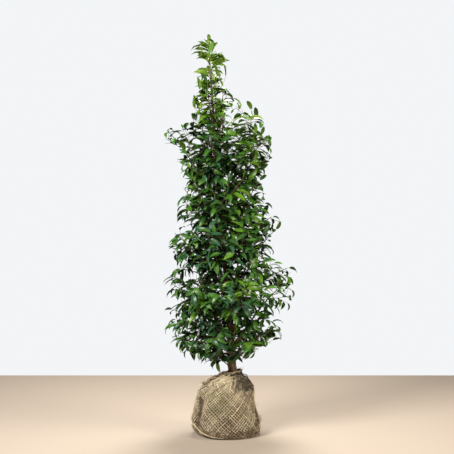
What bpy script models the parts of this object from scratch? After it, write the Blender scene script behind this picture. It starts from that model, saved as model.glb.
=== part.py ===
"""Evergreen laurel sapling lifted with its root ball: trunk, boughs and masses of long drooping leaves,
on a ball of soil wrapped in jute.

Metres, +Z up. The origin is the middle of the root ball's flat underside, -Y is the front and +X the right.
"""

from collections import namedtuple
from math import atan2, cos, exp, pi, radians, sin, sqrt
from random import Random

import bmesh
import bpy
from mathutils import Matrix, Vector, geometry, noise
from mathutils.bvhtree import BVHTree

# ---- Driving dimensions -------------------------------------------------------------------------

GAP = 0.0003  # clearance between two pieces that rest on each other
WELD = 0.00002  # points this close are one

BALL_HEIGHT = 0.335  # underside to the soil where the trunk stands
# Radius and height of the wrapped ball, from the edge of its flat underside to the soil round the trunk.
BALL_SIDE = (
    (0.164, 0.0),
    (0.182, 0.020),
    (0.188, 0.075),
    (0.176, 0.135),
    (0.159, 0.200),
    (0.143, 0.258),
    (0.110, 0.298),
    (0.062, 0.323),
    (0.030, BALL_HEIGHT),
)
BALL_DEPTH = 0.97  # front to back, as a share of side to side
BALL_SAG = 0.027  # the soft ball leans out this far to the left
BALL_SAG_RISE = 0.022  # the height over which it does so
BALL_LUMPS = 0.014
BALL_RIM = 0.040  # the lumps fade out this close to its top and underside
BALL_COLUMNS = 26
BALL_LUMP_PITCH = 0.09
BALL_LUMP_PLACE = Vector((3.1, 0.4, 1.7))  # where the lumps are read from the noise
# Radius and height of the cloth gathered round the trunk's foot, from inside the ball's cloth to its rim.
NECK_SIDE = ((0.062, 0.305), (0.050, 0.341), (0.036, 0.355), (0.040, 0.372))
NECK_FOLDS = 7
NECK_FOLD_DEPTH = 0.10  # as a share of its radius
NECK_WAVE = 0.006  # how far its rim rises and dips
FLAP_LENGTH = 0.110  # the knotted corner of cloth on the ball's left shoulder
FLAP_START = 0.050  # from the trunk's foot, and this far below the top of the soil
FLAP_SINK = 0.008
FLAP_AZIMUTH = radians(197)
FLAP_RADIUS = 0.019
FLAP_DROP = 0.056
FLAP_SIDES = 7

TRUNK_FOOT = BALL_HEIGHT + GAP  # the flat cut that stands on the soil
TRUNK_TIP = 1.960
TRUNK_BUTT = 0.0192  # radius above the root flare
TRUNK_END = 0.0046  # radius at the tip
FLARE = 0.007  # what the root flare adds to the radius at the soil
FLARE_HEIGHT = 0.030
FOOT_X = 0.015
LEAN = 0.0745  # to the left, for each metre up
BOW = 0.012  # a slight bow to the right, about this height
BOW_HEIGHT = 0.70
BOW_SPREAD = 0.18
SWAY = 0.006  # and front to back it winds this far, once in each stretch of this length
SWAY_PITCH = 1.1
TRUNK_SIDES = 10
TRUNK_STEPS = 20
TRUNK_SPACE_BELOW = 0.08  # the space kept for it reaches this far below its foot
TRUNK_CROWDING = 1.35  # its rings lie closer together towards the foot

LIMB_SHARE = 0.46  # a limb's radius where it leaves the trunk, as a share of the trunk's
LIMB_BUTT = 0.0060  # and no less than this
LIMB_END = 0.0042
LIMB_PARTS = 100  # a limb's curve is read at whole hundredths
BOUGH_SHARE = 0.30  # of a limb's length is bare bough, and the rest is the stem of its leaves
BOUGH_SIDES = 5
BOUGH_STEPS = 5
SEAT = 0.006  # a stem starts square to its bough's end, and runs straight for this far
STEM_SIDES = 4
STEM_STEPS = 4
TWIG_SIDES = 3
TWIG_STEPS = 2
TWIG_RADIUS = 0.0045
TWIG_END = 0.0036

BARE = 1.3  # a stem's first twig springs this far out, as a share of its way out of the trunk
TWIGS = 5  # to a stem
TWIG_SHARE = 0.46  # length of a stem's first twig, as a share of the stem's
TWIG_TAPER = 0.35  # and how much shorter its last twig is
TWIG_ANGLE = radians(50)
TWIG_LIFT = 0.18  # how far a twig curves up, as a share of its length
LAST_TWIG = 0.86  # the last twig leaves a stem at about this share of its length
LEAF_LENGTH = 0.142
LEAF_WIDTH = 0.060
LEAF_BELLY = 0.40  # where a leaf is widest, as a share of its length
LEAF_BEND = radians(36)  # how far its outer half turns down
LEAF_FOLD = 0.009  # how far its edges hang below the midrib
LEAF_SINK = 0.0010  # its root lies this far past the twig's axis
LEAF_PITCH = 0.040  # along a twig, from one leaf to the next
FIRST_LEAF = (0.55, 0.85)  # from a twig's root to its first leaf, as a share of the pitch
LAST_LEAF = 0.3  # and no leaf but the end one lies closer than this to its end
LEAF_ANGLE = radians(60)
TIP_LEAF_ANGLE = radians(12)
LEAF_DROOP = 0.50
LEAF_ROLL = 0.35
LEAF_TRIES = 10  # turns about its twig that a leaf is given to find room
LEAF_SMALL = 0.66  # the size of the leader's leaves, as a share of those low down
LEAF_SMALLER = (1.35, 1.90)  # between these heights they grow smaller
OVERHANG = 0.060  # how much nearer to another mass's stem than to its own a leaf may reach
LEAF_SET = 0.004  # the root of a leaf at a twig's end starts this far inside it
GOLDEN = radians(137.5)
CLEARANCE = 0.0010  # kept between a leaf or twig and all but the piece it grows from
SEED = 7
UP = Vector((0, 0, 1))

# The crown's outline: a height, and the reach to the left and to the right of the trunk there.
CROWN = (
    (0.330, 0.090, 0.045),
    (0.420, 0.290, 0.150),
    (0.470, 0.360, 0.270),
    (0.580, 0.400, 0.335),
    (0.840, 0.375, 0.405),
    (0.920, 0.340, 0.440),
    (1.150, 0.315, 0.355),
    (1.300, 0.245, 0.260),
    (1.500, 0.250, 0.310),
    (1.680, 0.320, 0.325),
    (1.760, 0.155, 0.290),
    (1.840, 0.125, 0.210),
    (1.910, 0.110, 0.110),
    (2.140, 0.130, 0.095),
    (2.200, 0.050, 0.050),
)
CROWN_DEPTH = 0.88  # front to back, as a share of side to side
TIP_SHARE = 0.82  # a limb ends at this share of the crown's reach, and its leaves fill the rest

# A tier of limbs round the trunk: the height where its first limb leaves, the height of its tips, the
# azimuth of its first limb, and its limbs' angles from upright at the trunk and at the tip.
Tier = namedtuple("Tier", "name leaves tips first start end bough")
TIERS = (
    Tier("skirt", 0.395, 0.550, 3, 50, 84, True),
    Tier("low", 0.480, 0.870, -9, 42, 58, True),
    Tier("middle", 0.730, 1.130, 8, 36, 50, True),
    Tier("upper", 1.000, 1.390, -14, 32, 36, False),
)
SIDES = ("right", "back_right", "back_left", "left", "front_left", "front_right")
TIER_RISE = 0.075  # the limbs of a tier leave the trunk over this height
TIER_SCATTER = 0.035  # and their tips lie this far above or below the tier's height

# A limb of its own: where it leaves the trunk, its azimuth, its reach from where it leaves, its tip's height.
Limb = namedtuple("Limb", "name leaves azimuth reach tip start end bough")
SHOULDERS = (
    Limb("shoulder_left", 1.100, 182, 0.262, 1.675, 18, 46, True),
    Limb("second_leader", 1.160, -4, 0.212, 1.780, 40, 4, True),
    Limb("shoulder_right", 1.240, -16, 0.262, 1.640, 46, 18, True),
    Limb("shoulder_front", 1.330, 264, 0.150, 1.660, 34, 20, False),
    Limb("shoulder_back", 1.290, 84, 0.160, 1.680, 34, 20, False),
    Limb("leader_left", 1.480, 170, 0.075, 1.800, 36, 6, False),
    Limb("leader_right", 1.580, -10, 0.065, 1.900, 36, 6, False),
    Limb("leader_front", 1.650, 250, 0.055, 1.930, 36, 6, False),
    Limb("leader_back", 1.700, 70, 0.055, 1.960, 36, 6, False),
)
LEADER_TIP = Vector((-0.117, 0.004, 2.145))  # where the leader's own shoot ends


# ---- Materials ----------------------------------------------------------------------------------


def finish(name, colour, roughness):
    """A plain Principled material."""
    material = bpy.data.materials.new(name)
    material.use_nodes = True
    shader = material.node_tree.nodes["Principled BSDF"]
    shader.inputs["Base Color"].default_value = (*colour, 1.0)
    shader.inputs["Roughness"].default_value = roughness
    shader.inputs["Metallic"].default_value = 0.0
    material.diffuse_color = (*colour, 1.0)
    return material


# ---- Making and joining solids ------------------------------------------------------------------


def placed(name, data, collection, material=None):
    """An object for this mesh or curve, in this collection."""
    thing = bpy.data.objects.new(name, data)
    collection.objects.link(thing)
    if material is not None:
        data.materials.clear()
        data.materials.append(material)
    return thing


def evaluated_mesh(thing):
    """The mesh that an object has after its modifiers or bevel."""
    graph = bpy.context.evaluated_depsgraph_get()
    return bpy.data.meshes.new_from_object(thing.evaluated_get(graph))


def welded(mesh):
    """Closes a mesh where its caps meet its sides."""
    work = bmesh.new()
    work.from_mesh(mesh)
    bmesh.ops.remove_doubles(work, verts=work.verts, dist=WELD)
    bmesh.ops.recalc_face_normals(work, faces=work.faces)
    work.to_mesh(mesh)
    work.free()
    return mesh


def hidden(guide):
    """Marks a cutter or other helper as no piece of the sapling."""
    guide.hide_render = True
    guide.display_type = "WIRE"
    return guide


def section(sides, guides):
    """A closed outline of radius 1, the cross-section of every tube with this many sides."""
    name = f"section_{sides}"
    if name in bpy.data.objects:
        return bpy.data.objects[name]
    outline = bpy.data.curves.new(name, "CURVE")
    outline.dimensions = "2D"
    spline = outline.splines.new("POLY")
    spline.points.add(sides - 1)
    spline.use_cyclic_u = True
    for i, point in enumerate(spline.points):
        turn = 2 * pi * i / sides
        point.co = (cos(turn), sin(turn), 0, 1)
    return hidden(placed(name, outline, guides))


def tube(name, points, radii, sides, collection, guides, material=None):
    """A tapered tube through these points, closed at both ends."""
    line = bpy.data.curves.new(name, "CURVE")
    line.dimensions = "3D"
    line.bevel_mode = "OBJECT"
    line.bevel_object = section(sides, guides)
    line.use_fill_caps = True
    spline = line.splines.new("POLY")
    spline.points.add(len(points) - 1)
    for knot, point, radius in zip(spline.points, points, radii):
        knot.co = (*point, 1)
        knot.radius = radius
    curve = placed(name + "_line", line, guides)
    mesh = welded(evaluated_mesh(curve))
    bpy.data.objects.remove(curve)
    bpy.data.curves.remove(line)
    return placed(name, mesh, collection, material)


def applied(thing):
    """Gives an object the mesh that its modifiers make, and removes them."""
    before = thing.data
    mesh = evaluated_mesh(thing)
    thing.modifiers.clear()
    thing.data = mesh
    bpy.data.meshes.remove(before)
    return thing


def cut(thing, cutter):
    """Cuts one solid clear of another."""
    difference = thing.modifiers.new("clear", "BOOLEAN")
    difference.operation = "DIFFERENCE"
    difference.object = cutter
    return applied(thing)


def remove(thing):
    """Removes an object, and its mesh where nothing else uses that."""
    mesh = thing.data
    bpy.data.objects.remove(thing)
    if mesh.users == 0:
        bpy.data.meshes.remove(mesh)


def tree_of(thing):
    """A mesh object's faces, ready for the test of what touches."""
    points = [thing.matrix_world @ vertex.co for vertex in thing.data.vertices]
    faces = [face.vertices[:] for face in thing.data.polygons]
    return points, BVHTree.FromPolygons(points, faces)


# ---- Root ball and its cloth --------------------------------------------------------------------


def ball_middle(height):
    """The middle of the ball at this height, side to side."""
    share = min(height / BALL_HEIGHT, 1)
    sag = BALL_SAG * (1 - exp(-height / BALL_SAG_RISE))
    return (FOOT_X + BALL_SAG) * share**4 - sag


def turned(name, profile, collection, material):
    """A solid turned from a profile of radius and height, from its lowest point up, with flat ends."""
    work = bmesh.new()
    points = [work.verts.new((radius, 0, height)) for radius, height in profile]
    lines = [work.edges.new(pair) for pair in zip(points, points[1:])]
    bmesh.ops.spin(
        work,
        geom=points + lines,
        axis=UP,
        cent=(0, 0, 0),
        angle=2 * pi,
        steps=BALL_COLUMNS,
        use_merge=True,
    )
    rims = [edge for edge in work.edges if edge.is_boundary]
    bmesh.ops.edgeloop_fill(work, edges=rims)
    bmesh.ops.recalc_face_normals(work, faces=work.faces)
    mesh = bpy.data.meshes.new(name)
    work.to_mesh(mesh)
    work.free()
    return placed(name, mesh, collection, material)


def root_ball(name, collection, material, grown=0.0):
    """The soil ball in its cloth: it sags to the left over its flat underside, and its sides are lumpy."""
    ball = turned(name, BALL_SIDE, collection, material)
    for vertex in ball.data.vertices:
        place = vertex.co
        wave = noise.noise(place / BALL_LUMP_PITCH + BALL_LUMP_PLACE)
        inside = min(place.z, BALL_HEIGHT - place.z) / BALL_RIM
        outward = Vector((place.x, place.y, 0)).normalized()
        place += outward * (BALL_LUMPS * wave * min(inside, 1) + grown)
        place.z += grown if place.z > BALL_HEIGHT / 2 else 0
        place.x += ball_middle(place.z)
        place.y *= BALL_DEPTH
    return ball


def jute_neck(collection, material, ball_space, trunk_space):
    """The cloth gathered round the trunk's foot, in upright folds."""
    neck = turned("jute_neck", NECK_SIDE, collection, material)
    for vertex in neck.data.vertices:
        place = vertex.co
        turn = atan2(place.y, place.x)
        fold = 1 + NECK_FOLD_DEPTH * sin(NECK_FOLDS * turn)
        place.x = place.x * fold + FOOT_X
        place.y = place.y * fold
        place.z += NECK_WAVE * sin(2 * turn) if place.z > BALL_HEIGHT else 0
    cut(neck, ball_space)
    return cut(neck, trunk_space)


def jute_flap(collection, guides, material, ball_space):
    """A knotted corner of the cloth, lying on the ball's left shoulder."""
    away = Vector((cos(FLAP_AZIMUTH), sin(FLAP_AZIMUTH), 0))
    start = away * FLAP_START + UP * (BALL_HEIGHT - FLAP_SINK)
    shares = (0, 0.3, 0.6, 1)
    points = [start + away * FLAP_LENGTH * share - UP * FLAP_DROP * share**1.6 for share in shares]
    radii = [FLAP_RADIUS * share for share in (0.6, 1.0, 1.1, 0.7)]
    flap = tube("jute_flap", points, radii, FLAP_SIDES, collection, guides, material)
    return cut(flap, ball_space)


# ---- Trunk and limbs ----------------------------------------------------------------------------


def trunk_point(height):
    """The middle of the trunk at this height."""
    bow = BOW * exp(-(((height - BOW_HEIGHT) / BOW_SPREAD) ** 2))
    sway = SWAY * sin(2 * pi * (height - TRUNK_FOOT) / SWAY_PITCH)
    return Vector((FOOT_X - LEAN * (height - TRUNK_FOOT) + bow, sway, height))


def trunk_radius(height):
    share = (height - TRUNK_FOOT) / (TRUNK_TIP - TRUNK_FOOT)
    flare = FLARE * exp(-(height - TRUNK_FOOT) / FLARE_HEIGHT)
    return TRUNK_BUTT + (TRUNK_END - TRUNK_BUTT) * share + flare


def trunk(name, collection, guides, material, grown=0.0):
    """The trunk, or with grown the space that it keeps."""
    shares = [(i / TRUNK_STEPS) ** TRUNK_CROWDING for i in range(TRUNK_STEPS + 1)]
    heights = [TRUNK_FOOT + (TRUNK_TIP - TRUNK_FOOT) * share for share in shares]
    points = [trunk_point(height) for height in heights]
    radii = [trunk_radius(height) + grown for height in heights]
    points[0].xy = points[1].xy  # so that the cut at its foot is level
    if grown > 0:
        points = [points[0] - UP * TRUNK_SPACE_BELOW, *points]
        radii = [radii[0], *radii]
    return tube(name, points, radii, TRUNK_SIDES, collection, guides, material)


def crown_reach(height, azimuth):
    """How far the crown reaches from the trunk at this height, towards this azimuth."""
    low, high = CROWN[0], CROWN[-1]
    for below, above in zip(CROWN, CROWN[1:]):
        if below[0] <= height <= above[0]:
            low, high = below, above
    share = min(max((height - low[0]) / (high[0] - low[0]), 0), 1)
    left = low[1] + (high[1] - low[1]) * share
    right = low[2] + (high[2] - low[2]) * share
    side = right if cos(azimuth) > 0 else left
    depth = CROWN_DEPTH * (left + right) / 2
    return 1 / sqrt((cos(azimuth) / side) ** 2 + (sin(azimuth) / depth) ** 2)


def tier_limbs(tier, rng):
    """The limbs of a tier, spaced evenly round the trunk."""
    limbs = []
    for i, side in enumerate(SIDES):
        azimuth = tier.first + 360 * i / len(SIDES)
        leaves = tier.leaves + TIER_RISE * ((i * 5) % len(SIDES)) / (len(SIDES) - 1)
        tip = tier.tips + rng.uniform(-TIER_SCATTER, TIER_SCATTER)
        reach = TIP_SHARE * crown_reach(tip, radians(azimuth))
        name = f"{tier.name}_{side}"
        limbs.append(Limb(name, leaves, azimuth, reach, tip, tier.start, tier.end, tier.bough))
    return limbs


def limb_point(limb, share):
    """A point on a limb's axis: share is 0 in the middle of the trunk and 1 at the limb's tip.

    The axis is a Bezier curve with the limb's angles from upright at its ends.
    """
    azimuth = radians(limb.azimuth)
    away = Vector((cos(azimuth), sin(azimuth), 0))
    start = trunk_point(limb.leaves)
    end = Vector((*trunk_point(limb.tip).xy, limb.tip)) + away * limb.reach
    handle = (end - start).length / 3
    first = start + (UP * cos(radians(limb.start)) + away * sin(radians(limb.start))) * handle
    last = end - (UP * cos(radians(limb.end)) + away * sin(radians(limb.end))) * handle
    return geometry.interpolate_bezier(start, first, last, end, LIMB_PARTS + 1)[round(share * LIMB_PARTS)]


def limb_radius(limb, share):
    butt = max(LIMB_SHARE * trunk_radius(limb.leaves), LIMB_BUTT)
    return butt + (LIMB_END - butt) * share


def stretch(limb, start, end, steps):
    """Points and radii along a limb, from one share of its length to another."""
    shares = [start + (end - start) * i / steps for i in range(steps + 1)]
    return [limb_point(limb, share) for share in shares], [limb_radius(limb, share) for share in shares]


def bough(limb, collection, guides, material, trunk_space):
    """The bare inner stretch of a limb, cut clear of the trunk."""
    points, radii = stretch(limb, 0, BOUGH_SHARE, BOUGH_STEPS)
    solid = tube(f"bough_{limb.name}", points, radii, BOUGH_SIDES, collection, guides, material)
    return cut(solid, trunk_space)


def stem_points(limb):
    """The leafy stretch of a limb: from the bough's tip, or out of the trunk."""
    if not limb.bough:
        return stretch(limb, 0, 1, STEM_STEPS)
    points, radii = stretch(limb, BOUGH_SHARE, 1, STEM_STEPS)
    inner, _ = stretch(limb, 0, BOUGH_SHARE, BOUGH_STEPS)
    along = (inner[-1] - inner[-2]).normalized()
    seat = points[0] + along * GAP
    return [seat, seat + along * SEAT, *points[1:]], [radii[0], *radii]


def leader_points():
    """The leader's own shoot, on from the trunk's tip."""
    start = trunk_point(TRUNK_TIP) + UP * GAP
    points = [start.lerp(LEADER_TIP, i / STEM_STEPS) for i in range(STEM_STEPS + 1)]
    radii = [TRUNK_END + (TWIG_END - TRUNK_END) * i / STEM_STEPS for i in range(STEM_STEPS + 1)]
    return points, radii


# ---- Leaves and twigs ---------------------------------------------------------------------------


def leaf_shape(name, length, width):
    """A leaf along +X with its root at the origin: a folded blade whose outer half turns down.

    It is a three-sided spike from its widest place to its tip, and its flat end is drawn out to the root.
    """
    belly = LEAF_BELLY * length
    outer = length - belly
    work = bmesh.new()
    bmesh.ops.create_cone(work, cap_ends=True, segments=3, radius1=1, radius2=0, depth=1)
    bmesh.ops.remove_doubles(work, verts=work.verts, dist=WELD)
    corners = [vertex for vertex in work.verts if vertex.co.z < 0]
    tip = next(vertex for vertex in work.verts if vertex.co.z > 0)
    flat_end = next(face for face in work.faces if tip not in face.verts)
    root = bmesh.ops.poke(work, faces=[flat_end])["verts"][0]
    rib, left, right = corners
    root.co = (0, 0, 0)
    rib.co = (belly, 0, 0)
    left.co = (belly, width / 2, -LEAF_FOLD)
    right.co = (belly, -width / 2, -LEAF_FOLD)
    tip.co = (belly + outer * cos(LEAF_BEND), 0, -outer * sin(LEAF_BEND))
    bmesh.ops.recalc_face_normals(work, faces=work.faces)
    mesh = bpy.data.meshes.new(name)
    work.to_mesh(mesh)
    work.free()
    return mesh


def frame_along(along, turn):
    """A direction square to this one, turned about it from the side that faces up."""
    side = UP.cross(along)
    square = (along.cross(side) if side.length > 0.01 else Vector((0, -1, 0))).normalized()
    return Matrix.Rotation(turn, 3, along) @ square


def leaf_size(height):
    """How large the leaves are at this height, as a share of those low down."""
    low, high = LEAF_SMALLER
    share = min(max((height - low) / (high - low), 0), 1)
    return 1 + (LEAF_SMALL - 1) * share


def leaf_place(root, along, turn, angle, rng):
    """Where a leaf goes that leaves a twig at this angle: it droops, with its upper face to the sky."""
    away = along * cos(angle) + frame_along(along, turn) * sin(angle)
    away = (away - UP * LEAF_DROOP * rng.uniform(0.6, 1.3)).normalized()
    over = UP - away * away.dot(UP)
    over = (over if over.length > 0.05 else frame_along(away, 0)).normalized()
    over = Matrix.Rotation(rng.uniform(-LEAF_ROLL, LEAF_ROLL), 3, away) @ over
    across = over.cross(away)
    turned_so = Matrix((away, across, over)).transposed().to_4x4()
    size = leaf_size(root.z) * rng.uniform(0.88, 1.06)
    return Matrix.Translation(root - away * LEAF_SINK) @ turned_so @ Matrix.Scale(size, 4)


def along_line(points, distance):
    """The point this far along a line, and the line's direction there."""
    for start, end in zip(points, points[1:]):
        step = (end - start).length
        if distance <= step:
            return start.lerp(end, distance / step), (end - start).normalized()
        distance -= step
    return points[-1].copy(), (points[-1] - points[-2]).normalized()


def line_length(points):
    return sum((end - start).length for start, end in zip(points, points[1:]))


def leaf_roots(points, first, rng):
    """Where the leaves of a stem or twig spring: one every pitch, and one at its end."""
    length = line_length(points)
    pitch = LEAF_PITCH * leaf_size(points[0].z)
    roots = []
    distance = first
    while distance < length - LAST_LEAF * pitch:
        roots.append((*along_line(points, distance), LEAF_ANGLE))
        distance += pitch * rng.uniform(0.9, 1.1)
    roots.append((*along_line(points, length - LEAF_SET), TIP_LEAF_ANGLE))
    return roots


def twig_lines(points, bare, count, rng):
    """The twigs of a stem, each a golden angle round from the last and shorter towards the stem's tip."""
    length = line_length(points)
    turn = rng.uniform(0, 2 * pi)
    lines = []
    for i in range(count):
        share = (i + 0.5) / count
        start, along = along_line(points, bare + (LAST_TWIG * length - bare) * share)
        away = along * cos(TWIG_ANGLE) + frame_along(along, turn) * sin(TWIG_ANGLE)
        reach = TWIG_SHARE * length * (1 - TWIG_TAPER * share) * rng.uniform(0.85, 1.1)
        steps = [k / TWIG_STEPS for k in range(TWIG_STEPS + 1)]
        lines.append([start + away * reach * step + UP * TWIG_LIFT * reach * step**2 for step in steps])
        turn += GOLDEN
    return lines


# ---- Keeping a mass to its own space ------------------------------------------------------------


def distance_to(point, line):
    """How far a point is from a line."""
    nearest = 10.0
    for start, end in zip(line, line[1:]):
        foot, share = geometry.intersect_point_line(point, start, end)
        foot = start.lerp(end, min(max(share, 0), 1))
        nearest = min(nearest, (point - foot).length)
    return nearest


def in_space(points, own, others):
    """Whether every point lies in the crown, and nearer to its own mass's stem than to any other."""
    for point in points:
        middle = trunk_point(point.z)
        out = point - middle
        if not CROWN[0][0] < point.z < CROWN[-1][0]:
            return False
        if out.xy.length > crown_reach(point.z, atan2(out.y, out.x)):
            return False
        near = distance_to(point, own) - OVERHANG
        if any(distance_to(point, other) < near for other in others):
            return False
    return True


class Taken:
    """The space that limbs, twigs and leaves have taken so far."""

    def __init__(self):
        self.pieces = []

    def add(self, points, tree):
        middle = sum(points, Vector()) / len(points)
        size = max((point - middle).length for point in points)
        self.pieces.append((middle, size, tree))
        return len(self.pieces) - 1

    def touches(self, points, tree, own):
        middle = sum(points, Vector()) / len(points)
        size = max((point - middle).length for point in points)
        for number, (other, reach, other_tree) in enumerate(self.pieces):
            near = (other - middle).length < size + reach
            if number not in own and near and tree.overlap(other_tree):
                return True
        return False


# ---- Masses of foliage --------------------------------------------------------------------------


class Mass:
    """One mass of foliage: a stem, its twigs and their leaves."""

    def __init__(self, name, points, radii, bare, cutter, number):
        self.name = name
        self.points = points
        self.radii = radii
        self.bare = bare
        self.cutter = cutter
        self.rng = Random(SEED * 1000 + number)
        self.twigs = []  # for each: its line, how far along it the first leaf is, and its number in Taken


def grow_stem(mass, collection, guides, material, taken):
    """The stem of a mass, cut clear of the trunk where it springs from it."""
    mass.stem = tube(mass.name, mass.points, mass.radii, STEM_SIDES, collection, guides, material)
    if mass.cutter is not None:
        cut(mass.stem, mass.cutter)
    mass.twigs.append((mass.points, mass.bare + LEAF_PITCH, taken.add(*tree_of(mass.stem))))


def grow_twigs(mass, count, workshop, guides, material, taken, others):
    """The twigs of a mass that keep to its space and touch nothing."""
    stem_number = mass.twigs[0][2]
    for i, line in enumerate(twig_lines(mass.points, mass.bare, count, mass.rng)):
        radii = [TWIG_RADIUS + (TWIG_END - TWIG_RADIUS) * k / TWIG_STEPS for k in range(TWIG_STEPS + 1)]
        if not in_space(line[1:], mass.points, others):
            continue
        twig = tube(f"{mass.name}_twig_{i}", line, radii, TWIG_SIDES, workshop, guides, material)
        points, tree = tree_of(twig)
        if taken.touches(points, tree, (stem_number,)):
            remove(twig)
            continue
        first = LEAF_PITCH * mass.rng.uniform(*FIRST_LEAF)
        mass.twigs.append((line, first, taken.add(points, tree)))


def grow_leaves(mass, leaf, wide_leaf, workshop, taken, others):
    """The leaves of a mass that keep to its space and touch nothing but their own twig."""
    corners = [vertex.co.copy() for vertex in wide_leaf.vertices]
    faces = [face.vertices[:] for face in wide_leaf.polygons]
    for line, first, number in mass.twigs:
        turn = mass.rng.uniform(0, 2 * pi)
        for root, along, angle in leaf_roots(line, first, mass.rng):
            for _ in range(LEAF_TRIES):
                turn += GOLDEN
                place = leaf_place(root, along, turn, angle, mass.rng)
                points = [place @ corner for corner in corners]
                tree = BVHTree.FromPolygons(points, faces)
                if in_space(points, mass.points, others) and not taken.touches(points, tree, (number,)):
                    taken.add(points, tree)
                    blade = placed(f"{mass.name}_leaf", leaf, workshop)
                    blade.matrix_world = place
                    break


def fuse(mass, workshop):
    """Joins the twigs and leaves of a mass to its stem."""
    union = mass.stem.modifiers.new("leaves_and_twigs", "BOOLEAN")
    union.operation = "UNION"
    union.operand_type = "COLLECTION"
    union.collection = workshop
    applied(mass.stem)
    for piece in list(workshop.objects):
        remove(piece)


# ---- The sapling --------------------------------------------------------------------------------


def new_collection(name):
    collection = bpy.data.collections.new(name)
    bpy.context.scene.collection.children.link(collection)
    return collection


def all_limbs():
    """Every limb, tier by tier, and then those of the shoulders and the leader."""
    rng = Random(SEED)
    limbs = [limb for tier in TIERS for limb in tier_limbs(tier, rng)]
    return limbs + list(SHOULDERS)


def main():
    for thing in list(bpy.data.objects):
        bpy.data.objects.remove(thing)

    parts = new_collection("sapling_with_root_ball")
    guides = new_collection("guides")
    workshop = new_collection("workshop")

    jute = finish("jute", (0.42, 0.33, 0.21), 0.95)
    bark = finish("bark", (0.17, 0.11, 0.07), 0.85)
    foliage = finish("foliage", (0.05, 0.15, 0.035), 0.45)

    ball_space = hidden(root_ball("ball_space", guides, jute, GAP * 1.5))
    trunk_space = hidden(trunk("trunk_space", guides, guides, bark, GAP))
    root_ball("root_ball", parts, jute)
    jute_neck(parts, jute, ball_space, trunk_space)
    jute_flap(parts, guides, jute, ball_space)
    trunk("trunk", parts, guides, bark)

    taken = Taken()
    taken.add(*tree_of(trunk_space))
    taken.add(*tree_of(ball_space))
    masses = []
    for number, limb in enumerate(all_limbs()):
        if limb.bough:
            taken.add(*tree_of(bough(limb, parts, guides, bark, trunk_space)))
        points, radii = stem_points(limb)
        inside = 0 if limb.bough else trunk_radius(limb.leaves) / sin(radians(limb.start))
        cutter = None if limb.bough else trunk_space
        masses.append(Mass(f"foliage_{limb.name}", points, radii, inside * BARE, cutter, number))
    masses.append(Mass("foliage_leader_tip", *leader_points(), 0, None, len(masses)))

    for mass in masses:
        grow_stem(mass, parts, guides, foliage, taken)

    leaf = leaf_shape("leaf", LEAF_LENGTH, LEAF_WIDTH)
    wide_leaf = leaf_shape("wide_leaf", LEAF_LENGTH + CLEARANCE, LEAF_WIDTH + 2 * CLEARANCE)
    leaf.use_fake_user = True
    for mass in masses:
        others = [other.points for other in masses if other is not mass]
        grow_twigs(mass, TWIGS, workshop, guides, foliage, taken, others)
        grow_leaves(mass, leaf, wide_leaf, workshop, taken, others)
        twigs = len(mass.twigs) - 1
        print(f"{mass.name}: {twigs} twigs, {len(workshop.objects) - twigs} leaves")
        fuse(mass, workshop)
    total = sum(len(face.vertices) - 2 for thing in parts.objects for face in thing.data.polygons)
    print(len(parts.objects), "solids,", total, "triangles")


main()
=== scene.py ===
# %% [markdown]
# # An evergreen laurel sapling on its root ball
#
# The real thing is a young tree, a little over two metres tall, dug from the field with the soil round its
# roots and wrapped in coarse jute. What meets the eye is a narrow column of long, arching, glossy leaves with
# a brown stem showing through the gaps, and under it a heavy, sagging bag of open weave. A solid model gives
# the sizes: the frame below loads it, and every piece made here is in metres, in that frame. The crown could
# be sculpted leaf by leaf, but a plant grows by a rule, so the rule is written down and the plant is grown.

# %% The frame
from collections import namedtuple
from math import atan2, cos, exp, pi, radians, remainder, sin, sqrt
from random import Random

import bmesh
import bpy
import numpy as np
from mathutils import Matrix, Vector, geometry, noise


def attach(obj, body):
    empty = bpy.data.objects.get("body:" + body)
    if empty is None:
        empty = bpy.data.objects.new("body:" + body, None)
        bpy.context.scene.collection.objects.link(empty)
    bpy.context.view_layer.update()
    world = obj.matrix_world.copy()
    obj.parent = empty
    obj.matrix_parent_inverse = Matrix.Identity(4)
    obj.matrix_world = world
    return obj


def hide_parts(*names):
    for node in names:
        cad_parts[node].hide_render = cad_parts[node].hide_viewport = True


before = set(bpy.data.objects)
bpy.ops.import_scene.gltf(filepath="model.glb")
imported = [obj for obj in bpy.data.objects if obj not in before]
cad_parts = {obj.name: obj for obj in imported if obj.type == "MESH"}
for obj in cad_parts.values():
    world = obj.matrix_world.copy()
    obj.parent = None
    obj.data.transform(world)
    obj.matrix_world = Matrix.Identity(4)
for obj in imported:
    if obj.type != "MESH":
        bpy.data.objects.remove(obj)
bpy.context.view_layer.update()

# %% [markdown]
# ## Camera, floor and light
#
# A person's-eye view from five and a half metres, with a long lens, keeps the stem straight and shows the
# ball a little from above. The floor is a plain pale plane and the backdrop is the world's own colour, so
# nothing stands in the way when the camera walks round. Soft panels of light, large and close, give glossy
# leaves broad highlights; small lamps would give them sparks.

# %% Camera
def added(name, data):
    """An object with this data, in the scene."""
    thing = bpy.data.objects.new(name, data)
    bpy.context.scene.collection.objects.link(thing)
    return thing


SENSOR = 36.0  # millimetres
FRAME_SIDE = 454  # pixels
FOCAL = 998  # pixels
EYE = (-0.0165, -5.5, 1.303)
PITCH = radians(1.664)

lens = bpy.data.cameras.new("eye")
lens.sensor_width = SENSOR
lens.lens = SENSOR * FOCAL / FRAME_SIDE
eye = added("eye", lens)
eye.location = EYE
eye.rotation_euler = (pi / 2 - PITCH, 0, 0)
bpy.context.scene.camera = eye
print("lens", round(lens.lens, 2), "mm")

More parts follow.
